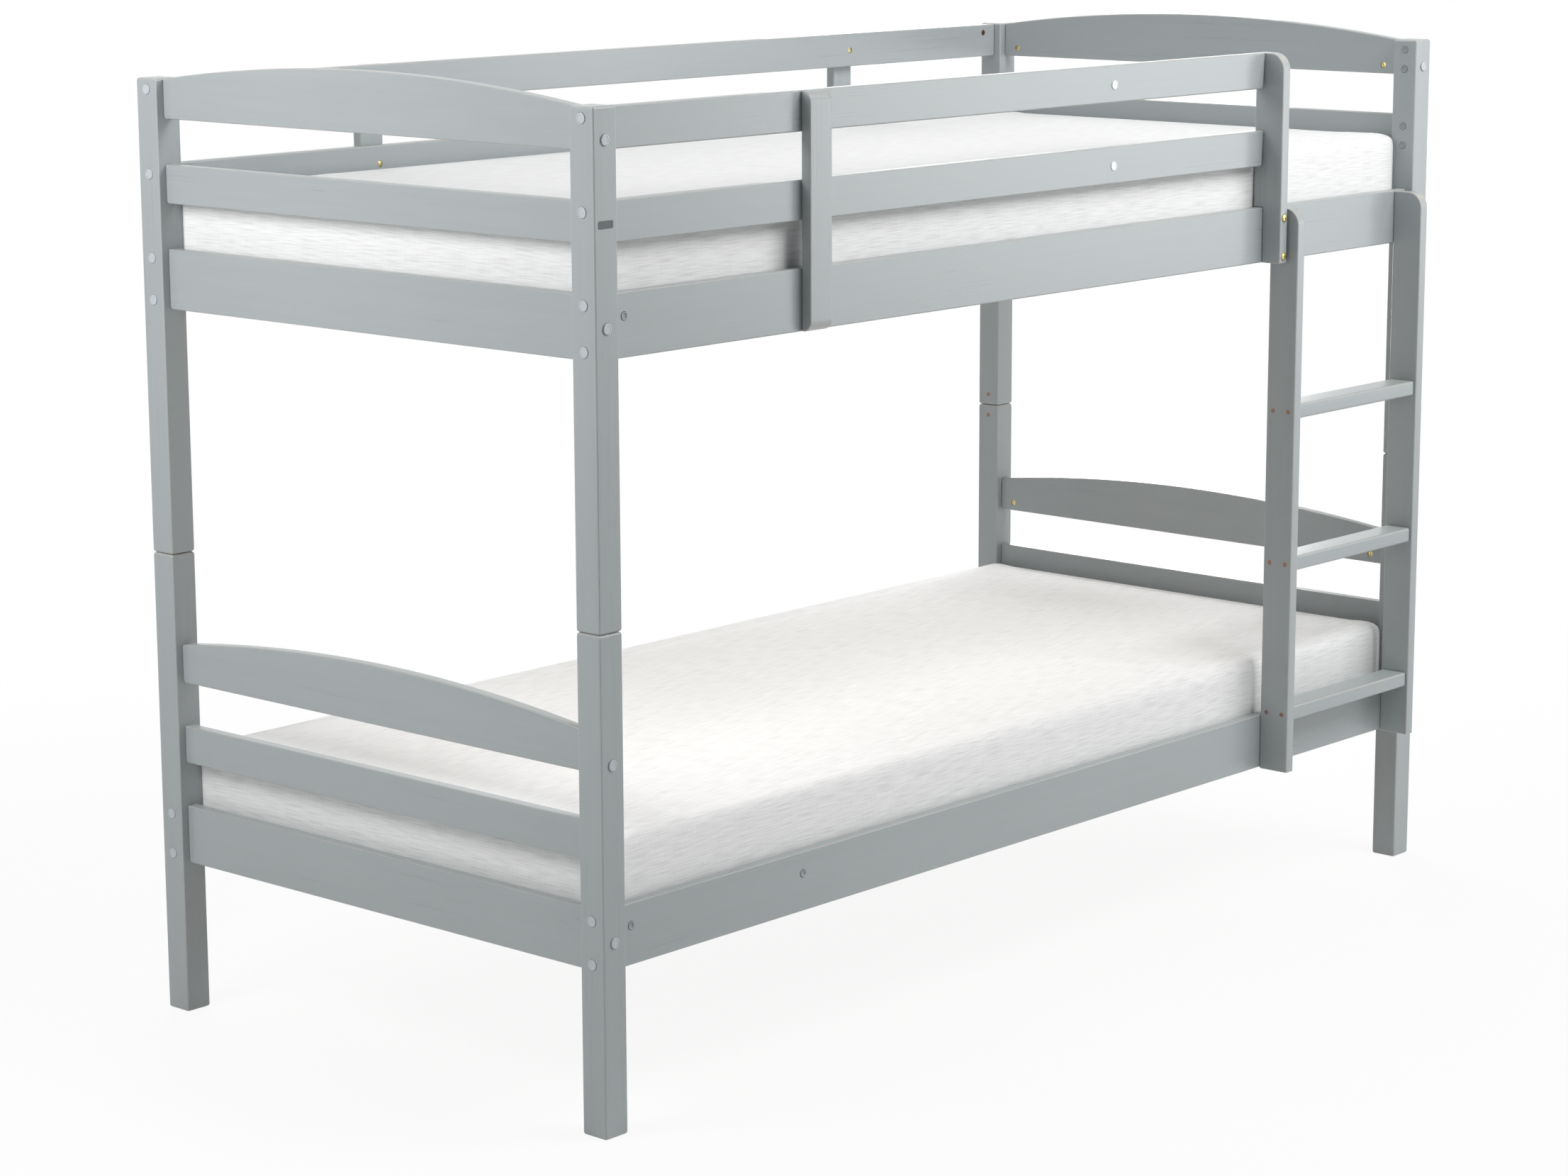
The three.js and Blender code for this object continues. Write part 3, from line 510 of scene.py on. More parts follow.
def hand_over(piece, material, slot, *nodes):
    """Gives a finished piece its material and its body, and hides the CAD nodes it stands for."""
    coat(piece, material)
    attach(piece, "root")
    if nodes:
        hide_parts(*nodes)


def finish_timber(piece, material, slot, node):
    shade(piece)
    hand_over(piece, material, slot, node)


def finish_painted(piece, axis, node):
    """Marks a painted piece's edges for wear and a painted highlight, and hands it over with its grain along
    an axis.
    """
    mark_edges(piece)
    finish_timber(piece, grey_paint[axis], "grey_paint", node)

# %% [markdown]
# Holes, caps, nuts and screws come back dozens of times. Each could be made anew where it sits.
# It is less work, and more even, to make one with its face at Z = 0, and to turn each copy to the
# side that it faces and move it to its spot.

# %% Helpers for copies
FACING_TURN = {"+x": Matrix.Rotation(math.pi / 2, 4, "Y"), "-x": Matrix.Rotation(-math.pi / 2, 4, "Y"),
               "+y": Matrix.Rotation(-math.pi / 2, 4, "X"), "-y": Matrix.Rotation(math.pi / 2, 4, "X")}


def joined(pieces, name):
    """Joins several pieces into one."""
    bpy.ops.object.select_all(action="DESELECT")
    for piece in pieces:
        piece.select_set(True)
    bpy.context.view_layer.objects.active = pieces[0]
    if len(pieces) > 1:
        bpy.ops.object.join()
    return named(pieces[0], name)


def copied(piece, move=(0, 0, 0), turn=Matrix.Identity(4)):
    """A copy of a piece with its own mesh, turned about the origin and then moved."""
    twin = piece.copy()
    twin.data = piece.data.copy()
    bpy.context.collection.objects.link(twin)
    twin.matrix_world = Matrix.Translation(move) @ turn
    settle(twin)
    return twin


def set_at(spots, piece, lift=0.0):
    """Copies of a piece, each turned to the side its spot faces and lifted out of the surface."""
    return [copied(piece, Vector(place) + FACING_TURN[facing] @ Vector((0, 0, lift)), FACING_TURN[facing])
            for facing, place in spots]

# %% Discs and round tools
def disc(name, radius, thickness, sides=32, top=0.0):
    """A round block with its axis along Z and its upper face at a height."""
    bpy.ops.object.select_all(action="DESELECT")
    bpy.ops.mesh.primitive_cylinder_add(vertices=sides, radius=radius, depth=thickness,
                                        location=(0, 0, top - thickness / 2))
    piece = named(bpy.context.object, name)
    settle(piece)
    return piece


def hole_tool(name, radius, depth):
    """A round tool that cuts a hole of a depth below Z = 0."""
    return disc(name, radius, 2 * depth, top=depth)

# %% [markdown]
# The eight posts are square timbers. Their long arrises are nearly sharp and their ends are well
# rounded, so the lower and the upper post of each corner meet in a V-shaped line. Two bevels, one
# after the other, would overlap in the corners. One bevel does both, because each edge carries a
# weight that scales its radius. Round recesses in the outer faces take the plastic caps over the
# bolts, and are cut with a Boolean modifier. The caps reach the full length of the bed, so the
# timber under them starts a little further in.

# %% Where the caps sit on the posts
CAP_RADIUS = 0.008
CAP_RECESS = 0.0010
CAP_GAP = 0.0005
CAP_PROUD = {X: 0.0012, Y: 0.0020}


def cap_spots(level, corner, axis):
    """Where the caps of a post sit on its timber, as (facing, place)."""
    sign = (END_SIGN[corner[1]], SIDE_SIGN[corner[0]])[axis]
    place = post_middle[corner].copy()
    place[axis] = posts[corner][1 if sign > 0 else 0][axis]
    if axis == X:
        place.x -= sign * CAP_PROUD[X]
    return [(("+" if sign > 0 else "-") + "xy"[axis], (place.x, place.y, z)) for z in bolts[axis][level]]

# %% One bevel with two radii
# An edge runs along an axis if this share of its length does
PARALLEL = 0.999


def ease_by_weight(piece, axis, along, across):
    """Rounds the edges along an axis by one radius and all others by another."""
    largest = max(along, across)
    weights = piece.data.attributes.new("bevel_weight_edge", "FLOAT", "EDGE")
    for edge in piece.data.edges:
        start, end = (piece.data.vertices[index].co for index in edge.vertices)
        runs_along = abs(end[axis] - start[axis]) > PARALLEL * (end - start).length
        weights.data[edge.index].value = (along if runs_along else across) / largest
    apply_modifier(piece, "BEVEL", width=largest, segments=4, limit_method="WEIGHT")

# %% The eight posts
# The post beside the ladder has spare holes on its inner face, for guard rails at this end
PLUG_RADIUS = 0.0058
PLUG_GAP = 0.0008
PLUG_HOLE_DEPTH = 0.0022
SPARE_HEIGHTS = (1.2814, 1.3148, 1.4136, 1.4465)
spare_holes = [("-x", (inner_x, post_middle["front", "foot"].y, height)) for height in SPARE_HEIGHTS]
recess_tool = hole_tool("recess_tool", CAP_RADIUS + CAP_GAP, CAP_RECESS)
plug_hole_tool = hole_tool("plug_hole_tool", PLUG_RADIUS + PLUG_GAP, PLUG_HOLE_DEPTH)

for level in LEVELS:
    for corner in CORNERS:
        node = level + "_post_" + "_".join(corner)
        low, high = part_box(node)
        if END_SIGN[corner[1]] > 0:
            high.x -= CAP_PROUD[X]
        else:
            low.x += CAP_PROUD[X]
        post = block("painted_" + node, low, high)
        ease_by_weight(post, Z, along=0.0024, across=0.0042)
        tools = set_at(cap_spots(level, corner, X) + cap_spots(level, corner, Y), recess_tool)
        if (level, corner) == ("upper", ("front", "foot")):
            tools += set_at(spare_holes, plug_hole_tool)
        cut_out(post, joined(tools, "cutter"))
        finish_painted(post, Z, node)
discard(recess_tool)
print("posts done")

# %% [markdown]
# Bolts go through the posts into barrel nuts, which lie in round holes in the rails' inner faces.
# The nuts could be laid on the finished rails, but a nut that stands on a face looks glued on.
# Where they sit is worked out first, because the holes are drilled as each rail is made and the
# nuts are set into them at the end.

# %% Where the barrel nuts sit
NUT_INSET = {X: 0.034, Y: 0.030}
FLAT_BOLT_LIFT = 0.029
flat_upright_x = middle_of("guard_upright_back_foot").x
brass_nut_spots, copper_nut_spots = {}, {}
for level in LEVELS:
    for end, facing in (("head", "+x"), ("foot", "-x")):
        for kind, height in zip(("bottom", "arch"), bolts[Y][level]):
            node = f"{level}_{end}_{kind}_rail"
            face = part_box(node)[1 if end == "head" else 0].x
            brass_nut_spots[node] = [(facing, (face, y, height))
                                     for y in (inner_front_y + NUT_INSET[Y], inner_back_y - NUT_INSET[Y])]

for side, facing in (("front", "+y"), ("back", "-y")):
    rails = {f"{level}_side_rail_{side}": bolts[X][level][:2] for level in LEVELS}
    rails[f"guard_rail_{side}_low"] = bolts[X]["upper"][2:3]
    rails[f"guard_rail_{side}_high"] = bolts[X]["upper"][3:4]
    for node, heights in rails.items():
        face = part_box(node)[1 if side == "front" else 0].y
        is_guard = node.startswith("guard")
        signs = (-1,) if is_guard and side == "front" else (-1, 1)
        copper_nut_spots[node] = [(facing, (sign * (inner_x - NUT_INSET[X]), face, height))
                                  for sign in signs for height in heights]
        if is_guard:
            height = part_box(node)[0].z + FLAT_BOLT_LIFT
            brass_nut_spots[node] = [(facing, (sign * flat_upright_x, face, height)) for sign in signs]
print("barrel nuts:", sum(map(len, brass_nut_spots.values())), "brass and",
      sum(map(len, copper_nut_spots.values())), "copper")

# %% [markdown]
# The next pieces are shaped in edit mode. With a mouse the edges would be clicked. Here
# they are picked by a test on where they lie or how they turn, which also works when a size
# changes.

# %% Helpers for edit mode
def pick(piece, kind, test):
    """Opens a piece in edit mode with the vertices, edges or faces selected that pass a test."""
    alone(piece)
    bpy.ops.object.mode_set(mode="EDIT")
    bpy.ops.mesh.select_mode(type=kind)
    bpy.ops.mesh.select_all(action="DESELECT")
    mesh = bmesh.from_edit_mesh(piece.data)
    items = {"VERT": mesh.verts, "EDGE": mesh.edges, "FACE": mesh.faces}[kind]
    for item in items:
        item.select_set(bool(test(item)))
    mesh.select_flush_mode()
    bmesh.update_edit_mesh(piece.data)


def close():
    """Leaves edit mode."""
    bpy.ops.object.mode_set(mode="OBJECT")


def move_points(piece, test, move):
    """Moves the vertices that pass a test."""
    pick(piece, "VERT", test)
    bpy.ops.transform.translate(value=move)
    close()

# %% Helpers for rounding
SHARP_ANGLE = math.radians(40)
# Places this near are the same
SAME_PLACE = 0.001


def lies_along(edge, axis):
    """Whether an edge runs along an axis."""
    step = edge.verts[1].co - edge.verts[0].co
    return abs(step[axis]) > PARALLEL * step.length


def round_edges(piece, radius, steps, test):
    """Rounds the edges that pass a test."""
    pick(piece, "EDGE", test)
    bpy.ops.mesh.bevel(offset=radius, segments=steps, affect="EDGES")
    close()


def round_corners(piece, axis, radius, steps, test=lambda middle: True):
    """Rounds the edges that run along an axis and whose middles pass a test."""
    round_edges(piece, radius, steps, lambda edge: lies_along(edge, axis)
                and test((edge.verts[0].co + edge.verts[1].co) / 2))


def ease(piece, radius=0.0022, steps=3):
    """Rounds every sharp edge of a piece."""
    apply_modifier(piece, "BEVEL", width=radius, segments=steps, limit_method="ANGLE",
                   angle_limit=SHARP_ANGLE)

# %% [markdown]
# Each rail is a board between two posts. Its lower corners are rounded at the ends, and then all
# its edges are eased. The holes for the barrel nuts are drilled last, so that they keep a crisp
# rim. The front side rails also have unused holes, for a ladder at the other end, which take
# plugs as those of the post do. One Boolean with all the tools joined is quicker and cleaner than
# one for each hole.

# %% Holes in the boards
NUT_RADIUS = 0.0050
NUT_GAP = 0.0004
NUT_HOLE_DEPTH = 0.0028
PLUG_X = (-0.969, -0.600)
nut_hole_tool = hole_tool("nut_hole_tool", NUT_RADIUS + NUT_GAP, NUT_HOLE_DEPTH)
side_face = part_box("lower_side_rail_front")[0].y
plug_spots = {f"{level}_side_rail_front":
              [("-y", (x, side_face, middle_of(f"ladder_bolt_{level}_head_side").z)) for x in spots]
              for level, spots in (("lower", PLUG_X), ("upper", PLUG_X[:1]))}
hole_kinds = ((nut_hole_tool, brass_nut_spots), (nut_hole_tool, copper_nut_spots),
              (plug_hole_tool, plug_spots))


def finish_board(board, axis, node):
    """Rounds a painted board's edges, drills its holes and hands it over."""
    ease(board)
    holes = [hole for tool, spots in hole_kinds for hole in set_at(spots.get(node, []), tool)]
    if holes:
        cut_out(board, joined(holes, "cutter"))
    finish_painted(board, axis, node)

# %% A straight rail
END_CORNER = {"radius": 0.0055, "steps": 4}
SEAM = 0.0003


def rail_between(node, axis, start, end):
    """A block with a node's height and thickness, but its length from start to end."""
    low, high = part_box(node)
    low[axis], high[axis] = start + SEAM, end - SEAM
    return block("painted_" + node, low, high)


def straight_rail(node, axis, start, end, slant=0.0):
    """A rail with rounded lower corners. A slant makes its lower edge shorter at the far end."""
    rail = rail_between(node, axis, start, end)
    middle_z = middle_of(node).z
    if slant:
        move_points(rail, lambda vertex: vertex.co[axis] > end - SAME_PLACE and vertex.co.z < middle_z,
                    [-slant if i == axis else 0 for i in range(3)])
    round_corners(rail, Y if axis == X else X, **END_CORNER, test=lambda place: place.z < middle_z)
    finish_board(rail, axis, node)

# %% [markdown]
# The top rails of the end panels rise in a shallow arch. A curve could be drawn and extruded, but
# then its ends would need fitting to the posts. The arch starts as the same block as the other
# rails: it is subdivided along its length, and the upper vertices of each column are lifted to
# the circle that the real saw cut followed.

# %% An arched rail
ARCH_COLUMNS = 28


def arched_rail(node, start, end, rise):
    """An end panel's top rail along Y, its upper edge lifted to an arch."""
    rail = rail_between(node, Y, start, end)
    low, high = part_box(node)
    side_top = high.z - rise
    move_points(rail, lambda vertex: vertex.co.z > side_top, (0, 0, -rise))
    pick(rail, "EDGE", lambda edge: lies_along(edge, Y))
    bpy.ops.mesh.subdivide(number_cuts=ARCH_COLUMNS - 1)
    close()
    half = (end - start) / 2 - SEAM
    middle = (start + end) / 2
    radius = (half * half + rise * rise) / (2 * rise)
    for column in range(1, ARCH_COLUMNS):
        across = middle - half + 2 * half * column / ARCH_COLUMNS
        lift = rise - radius + math.sqrt(radius * radius - (across - middle) ** 2)
        move_points(rail, lambda vertex: vertex.co.z > side_top - SAME_PLACE
                    and abs(vertex.co.y - across) < SAME_PLACE, (0, 0, lift))
    round_corners(rail, X, **END_CORNER, test=lambda place: place.z < low.z + SAME_PLACE)
    finish_board(rail, Y, node)

# %% The end panels
for level in LEVELS:
    for end in ("head", "foot"):
        straight_rail(f"{level}_{end}_bottom_rail", Y, inner_front_y, inner_back_y)
        straight_rail(f"{level}_{end}_middle_rail", Y, inner_front_y, inner_back_y)
        arched_rail(f"{level}_{end}_arch_rail", inner_front_y, inner_back_y, rise=0.030)
print("end panels done")

# %% [markdown]
# Four wide side rails carry the beds, and four slim guard rails run above the upper ones. The
# front guard rails stop at the ladder, and their lower edge ends a little sooner than their upper
# one. That slant could be cut off with a Boolean. Moving two corners of the block before its
# edges are rounded gives the same end with no extra faces.

# %% The side rails and guard rails
ladder_upright_low, ladder_upright_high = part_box("guard_upright_ladder")
for level in LEVELS:
    for side in ("front", "back"):
        straight_rail(f"{level}_side_rail_{side}", X, -inner_x, inner_x)
for height in ("low", "high"):
    straight_rail(f"guard_rail_back_{height}", X, -inner_x, inner_x)
    straight_rail(f"guard_rail_front_{height}", X, -inner_x, ladder_upright_low.x, slant=0.0038)
print("side rails done")

# %% [markdown]
# Three flat uprights tie the guard rails to the side rails. Their outer corners are rounded at
# both ends, so that nothing catches. They need nothing but a block with two rounded corners.

# %% The flat uprights
for node in ("guard_upright_front", "guard_upright_back_head", "guard_upright_back_foot"):
    low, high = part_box(node)
    upright = block("painted_" + node, low, high)
    outer = low.y if "front" in node else high.y
    round_corners(upright, X, radius=0.0156, steps=6, test=lambda place: abs(place.y - outer) < SAME_PLACE)
    finish_board(upright, Z, node)
print("flat uprights done")

# %% [markdown]
# The upright beside the ladder is thicker from front to back. It is notched at its foot to lap
# the side rail, and its top front corner is well rounded so that a hand can slide over it. The
# notch could be cut out with a Boolean. Here the block is cut at the notch's height and only the
# part above it is extruded, which leaves no thin slivers where the faces meet.

# %% The upright beside the ladder
# A face looks along an axis from this share of its normal
FACING = 0.9


def round_top_front(piece, low, high):
    """Rounds the top front corner, where the hand goes."""
    round_corners(piece, X, radius=0.027, steps=10, test=lambda place: place.y < low.y + SAME_PLACE
                  and place.z > high.z - SAME_PLACE)


rail_face, rail_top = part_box("upper_side_rail_front")[0].y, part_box("upper_side_rail_front")[1].z
low, high = ladder_upright_low, ladder_upright_high
end_upright = block("painted_guard_upright_ladder", low, (high.x, rail_face - SEAM, high.z))
pick(end_upright, "FACE", lambda face: True)
bpy.ops.mesh.bisect(plane_co=(0, 0, rail_top + SEAM), plane_no=(0, 0, 1))
close()
pick(end_upright, "FACE", lambda face: face.normal.y > FACING and face.calc_center_median().z > rail_top)
bpy.ops.mesh.extrude_region_move(TRANSFORM_OT_translate={"value": (0, high.y - rail_face + SEAM, 0)})
close()
round_top_front(end_upright, low, high)
finish_board(end_upright, Z, "guard_upright_ladder")
print("uprights done")

# %% [markdown]
# The ladder has two stiles, seen on edge from the front, and three flat rungs between them. The
# stiles end as the upright beside them does, so they share its rounded corner. The rungs are
# stepped on, so all their edges are rounded more than those of the rails, by one bevel over the
# whole block. Each is held by two screws through each stile.

# %% The ladder
stiles = {end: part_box(f"ladder_stile_{end}_side") for end in ("head", "foot")}
for end, (low, high) in stiles.items():
    node = f"ladder_stile_{end}_side"
    stile = block("painted_" + node, low, high)
    round_top_front(stile, low, high)
    finish_board(stile, Z, node)

rung_nodes = [f"ladder_rung_{number}" for number in (1, 2, 3)]
for node in rung_nodes:
    rung = block("painted_" + node, *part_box(node))
    ease(rung, radius=0.0035)
    finish_painted(rung, X, node)
print("ladder done")

# %% [markdown]
# Each bed base is two ledgers screwed to the side rails and fifteen slats lying on them, with two
# woven tapes under the slats that keep them at their spacing. An Array modifier could repeat the
# slat. One slat that is modelled with rounded edges and then copied does the same, and each copy
# has its own place in the grain.

# %% Webbing for the tapes
woven_tape, tree, shader, place = new_material("woven_tape")
weave = blend(tree, 0.5, waves(tree, place, "X", scale=95.0, distortion=0.6, detail=1.0),
              waves(tree, place, "Y", scale=160.0, distortion=0.4))
tone = blend_colours(tree, weave, linear(206, 203, 194), linear(232, 230, 222))
fill(tree, shader, {"Base Color": tone, "Roughness": 0.85})
raise_surface(tree, shader, weave, strength=0.5, distance=0.0004)
print("webbing:", woven_tape.name)

# %% The bed bases
SLAT_COUNT = 15
SLAT_WIDTH = 0.068
SLAT_THICKNESS = 0.014
TAPE_WIDTH = 0.030
TAPE_THICKNESS = 0.0015
TAPE_INSET = 0.146

for level in LEVELS:
    for side in ("front", "back"):
        node = f"{level}_slat_ledger_{side}"
        ledger = block("pine_" + node, *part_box(node))
        ease(ledger, radius=0.002)
        finish_timber(ledger, bare_pine[X], "bare_pine", node)

    low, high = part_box(f"{level}_slat_roll")
    slat = block("slat", (low.x, low.y, high.z - SLAT_THICKNESS), (low.x + SLAT_WIDTH, high.y, high.z))
    ease(slat, radius=0.0028)
    pitch = (high.x - low.x - SLAT_WIDTH) / (SLAT_COUNT - 1)
    slats = [slat] + [copied(slat, (pitch * count, 0, 0)) for count in range(1, SLAT_COUNT)]
    finish_timber(joined(slats, f"pine_{level}_slats"), bare_pine[Y], "bare_pine", f"{level}_slat_roll")

    tapes = []
    for middle_y in (low.y + TAPE_INSET, high.y - TAPE_INSET):
        tapes.append(block("tape", (low.x + SLAT_WIDTH / 2, middle_y - TAPE_WIDTH / 2, low.z),
                           (high.x - SLAT_WIDTH / 2, middle_y + TAPE_WIDTH / 2, low.z + TAPE_THICKNESS)))
        ease(tapes[-1], radius=0.0005, steps=2)
    tape_pair = joined(tapes, f"woven_{level}_slat_tapes")
    shade(tape_pair)
    hand_over(tape_pair, woven_tape, "bare_pine")
print("bed bases done")

# %% [markdown]
# A foam mattress is a padded piece: its cover is pulled tight round a soft block, so the top
# crowns a little, the rims are round and the long sides swell between the corners. It could be a
# rounded block with a few vertices pulled out, but then it looks like a box of plaster. The start
# is a slightly smaller block with rounded corners, remeshed into even small faces, which are then
# wrapped back onto the block so that its outline stays crisp.

# %% The mattress before it is blown up
FOAM_MARGIN = Vector((0.0008, 0.0006, 0.0))
FOAM_CORNER = 0.016
CROWN = 0.003
SINK = 0.001
HELD_HEIGHT = 0.024

cover_low, cover_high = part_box("lower_mattress")
foam = block("foam", cover_low + FOAM_MARGIN, cover_high - FOAM_MARGIN - Vector((0, 0, CROWN)))
round_corners(foam, Z, FOAM_CORNER, steps=10)
ease(foam, radius=0.010, steps=8)
mattress = copied(foam)
apply_modifier(mattress, "REMESH", mode="VOXEL", voxel_size=0.0135)
apply_modifier(mattress, "SHRINKWRAP", target=foam)
discard(foam)
print("mattress starts with", len(mattress.data.vertices), "points")

start_points = [vertex.co.copy() for vertex in mattress.data.vertices]
held = mattress.vertex_groups.new(name="held")
for vertex in mattress.data.vertices:
    height = vertex.co.z - cover_low.z
    held.add([vertex.index], max(0.0, 1.0 - height / HELD_HEIGHT), "REPLACE")

# %% [markdown]
# Blender's cloth then blows the cover up like a cushion, with its underside held where it lies on
# the slats. Left alone it would swell like a balloon, so no point may travel further than the
# real foam would let it.

# %% Blow up the cover
CLOTH_FRAMES = 20
COVER_CLOTH = {"quality": 5, "mass": 0.4, "tension_stiffness": 30, "compression_stiffness": 30,
               "bending_stiffness": 2.0, "use_pressure": True, "uniform_pressure_force": 4.0,
               "vertex_group_mass": "held"}

alone(mattress)
bpy.ops.object.modifier_add(type="CLOTH")
cloth = mattress.modifiers[-1]
for key, value in COVER_CLOTH.items():
    setattr(cloth.settings, key, value)
cloth.settings.effector_weights.gravity = 0.0
for step in range(1, CLOTH_FRAMES + 1):
    bpy.context.scene.frame_set(step)
alone(mattress)
bpy.ops.object.modifier_apply(modifier=cloth.name)
bpy.context.scene.frame_set(1)

# No point goes further than the foam's own swell, nor outside the mattress's real size
travel = 0.0
for vertex, start in zip(mattress.data.vertices, start_points):
    swell = vertex.co - start
    swell.x = max(-FOAM_MARGIN.x, min(FOAM_MARGIN.x, swell.x))
    swell.y = max(-FOAM_MARGIN.y, min(FOAM_MARGIN.y, swell.y))
    swell.z = max(-SINK, min(CROWN, swell.z))
    vertex.co = start + swell
    vertex.co.z = max(vertex.co.z, cover_low.z)
    travel = max(travel, swell.length)
print("furthest travel of the cover:", round(travel * 1000, 1), "mm")

# %% [markdown]
# The corners of the cover are fuller than the room between the posts, so on the real bed the
# posts press them in. A collision in the cloth simulation would show it too, at many times the
# cost. Each point that would stand in a post is moved back to just outside it.

# %% Dents from the posts
POST_TOUCH = 0.0003
apply_modifier(mattress, "SUBSURF", levels=1, render_levels=1)

# Each point that would stand in a post goes back by the shorter way out
middle = (cover_low + cover_high) / 2
reach_x, reach_y = inner_x - POST_TOUCH, (inner_back_y - inner_front_y) / 2 - POST_TOUCH
pressed = 0
for vertex in mattress.data.vertices:
    off = vertex.co - middle
    over_x, over_y = abs(off.x) - reach_x, abs(off.y) - reach_y
    if over_x > 0 and over_y > 0:
        pressed += 1
        if over_x < over_y:
            vertex.co.x -= math.copysign(over_x, off.x)
        else:
            vertex.co.y -= math.copysign(over_y, off.y)
print("points pressed in by the posts:", pressed)
alone(mattress)
bpy.ops.object.shade_smooth()

# %% [markdown]
# The weave needs a flat map of the cloth. Unwrapping in the editor would scale it to fit a
# square. Here each face is laid out in metres: the top and the underside as they lie, and the
# sides as one long strip round the mattress, so the threads keep their size everywhere. Both
# mattresses are the same product, so the upper one is a copy turned end for end.

# %% How far round the side a place is
half_size = (cover_high - cover_low) / 2
straight_x, straight_y = half_size.x - FOAM_CORNER, half_size.y - FOAM_CORNER
quarter_turn = FOAM_CORNER * math.pi / 2


def girth(place):
    """How far round the mattress's side a place is, in metres."""
    x, y = place.x - middle.x, place.y - middle.y
    over_x, over_y = abs(x) - straight_x, abs(y) - straight_y
    if over_x > 0 and over_y > 0:
        along = straight_x + FOAM_CORNER * math.atan2(over_x, over_y)
    elif over_x > over_y:
        along = straight_x + quarter_turn + (straight_y - abs(y))
    else:
        along = abs(x)
    if y > 0:
        along = 2 * (straight_x + quarter_turn + straight_y) - along
    return along if x > 0 else -along


print("round the mattress:", round(4 * (straight_x + quarter_turn + straight_y), 3), "m")

# %% The cloth's own map
# The weave runs along the length on top and underneath, and round the mattress on its sides
FLAT_SHARE = 0.6
cloth_map = mattress.data.uv_layers.new(name="cloth")
for face in mattress.data.polygons:
    lies_flat = abs(face.normal.z) > FLAT_SHARE
    for loop in face.loop_indices:
        place = mattress.data.vertices[mattress.data.loops[loop].vertex_index].co
        cloth_map.data[loop].uv = (place.x, place.y) if lies_flat else (girth(place), place.z)
print("map of", len(cloth_map.data), "corners")

# %% Both mattresses
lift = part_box("upper_mattress")[0].z - cover_low.z
spot = Vector((middle.x, middle.y, 0))
end_for_end = Matrix.Translation(spot) @ Matrix.Rotation(math.pi, 4, "Z") @ Matrix.Translation(-spot)
upper = copied(mattress, (0, 0, lift), end_for_end)
for piece, level in ((mattress, "lower"), (upper, "upper")):
    named(piece, f"covered_{level}_mattress")
    hand_over(piece, mattress_cover, "mattress_cover", f"{level}_mattress")
print("mattresses done")

# %% [markdown]
# The fasteners come last. Their places follow the construction: bolts go through the posts into
# barrel nuts in the rails, the ladder and the front guard rails can be fitted at either end, and
# the holes that are not used carry small plugs. Caps and plugs could be plain discs, but their
# rims catch the light. Both are discs with a rounded rim, a raised ring and a sunken middle, made
# by two insets.

# %% Helpers for small round parts
SMALL_ANGLE = math.radians(32)
RIM_ANGLE = 0.6
ON_FACE = 1e-5


def round_rim(piece, radius, steps):
    """Rounds the rim of a disc's upper face."""
    round_edges(piece, radius, steps, lambda edge: edge.calc_face_angle() > RIM_ANGLE
                and all(abs(vertex.co.z) < ON_FACE for vertex in edge.verts))


def finish_small(pieces, name, material, slot, *nodes):
    """Joins small parts into one piece and hands it over."""
    piece = joined(pieces, name)
    alone(piece)
    bpy.ops.object.shade_smooth_by_angle(angle=SMALL_ANGLE)
    hand_over(piece, material, slot, *nodes)


def dished_disc(name, radius, thickness, rim, ring, dish, sides):
    piece = disc(name, radius, thickness, sides)
    round_rim(piece, rim, steps=3)
    pick(piece, "FACE", lambda face: face.normal.z > FACING and abs(face.calc_center_median().z) < ON_FACE)
    bpy.ops.mesh.inset(thickness=ring)
    bpy.ops.mesh.inset(thickness=dish)
    bpy.ops.transform.translate(value=(0, 0, -dish))
    close()
    return piece

# %% Caps over the bolts
GUARD_CAP_X = 0.146
GUARD_CAP_LIFT = 0.028
GUARD_CAP_RADIUS = 0.0073
GUARD_CAP_PROUD = 0.0014
GUARD_CAP_SEAT = 0.0003
cap = dished_disc("cap", CAP_RADIUS, CAP_RECESS + CAP_PROUD[Y], rim=0.0007, ring=0.0014, dish=0.0004,
                  sides=40)
for level in LEVELS:
    for corner in CORNERS:
        caps = [piece for axis in (X, Y)
                for piece in set_at(cap_spots(level, corner, axis), cap, CAP_PROUD[axis])]
        finish_small(caps, f"caps_{level}_post_" + "_".join(corner), grey_cap, "grey_paint")

guard_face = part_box("guard_rail_front_high")[0].y
guard_cap = dished_disc("guard_cap", GUARD_CAP_RADIUS, GUARD_CAP_PROUD + GUARD_CAP_SEAT,
                        rim=0.0006, ring=0.0012, dish=0.0003, sides=40)
guard_cap_spots = [("-y", (GUARD_CAP_X, guard_face, base + GUARD_CAP_LIFT)) for base in guard_base]
finish_small(set_at(guard_cap_spots, guard_cap, GUARD_CAP_PROUD), "caps_front_guard_rails", white_cap,
             "grey_paint")

# %% Plugs in the unused holes
PLUG_PROUD = 0.0008
plug = dished_disc("plug", PLUG_RADIUS, PLUG_PROUD + PLUG_HOLE_DEPTH, rim=0.0004, ring=0.0007, dish=0.0013,
                   sides=28)
for spots, name in ((sum(plug_spots.values(), []), "plugs_in_side_rails"),
                    (spare_holes, "plugs_in_foot_post")):
    finish_small(set_at(spots, plug, PLUG_PROUD), name, grey_plug, "grey_paint")
discard(cap, guard_cap, plug, plug_hole_tool)
print("caps and plugs done")

# %% [markdown]
# Screws and nuts have a recess for the tool, which is what makes them read as screws from a step
# away. It could be drawn as a dark mark in the material, but a real recess also catches the
# light. A barrel nut has a slot and the rung screws have a cross of two slots, each cut by a thin
# block.

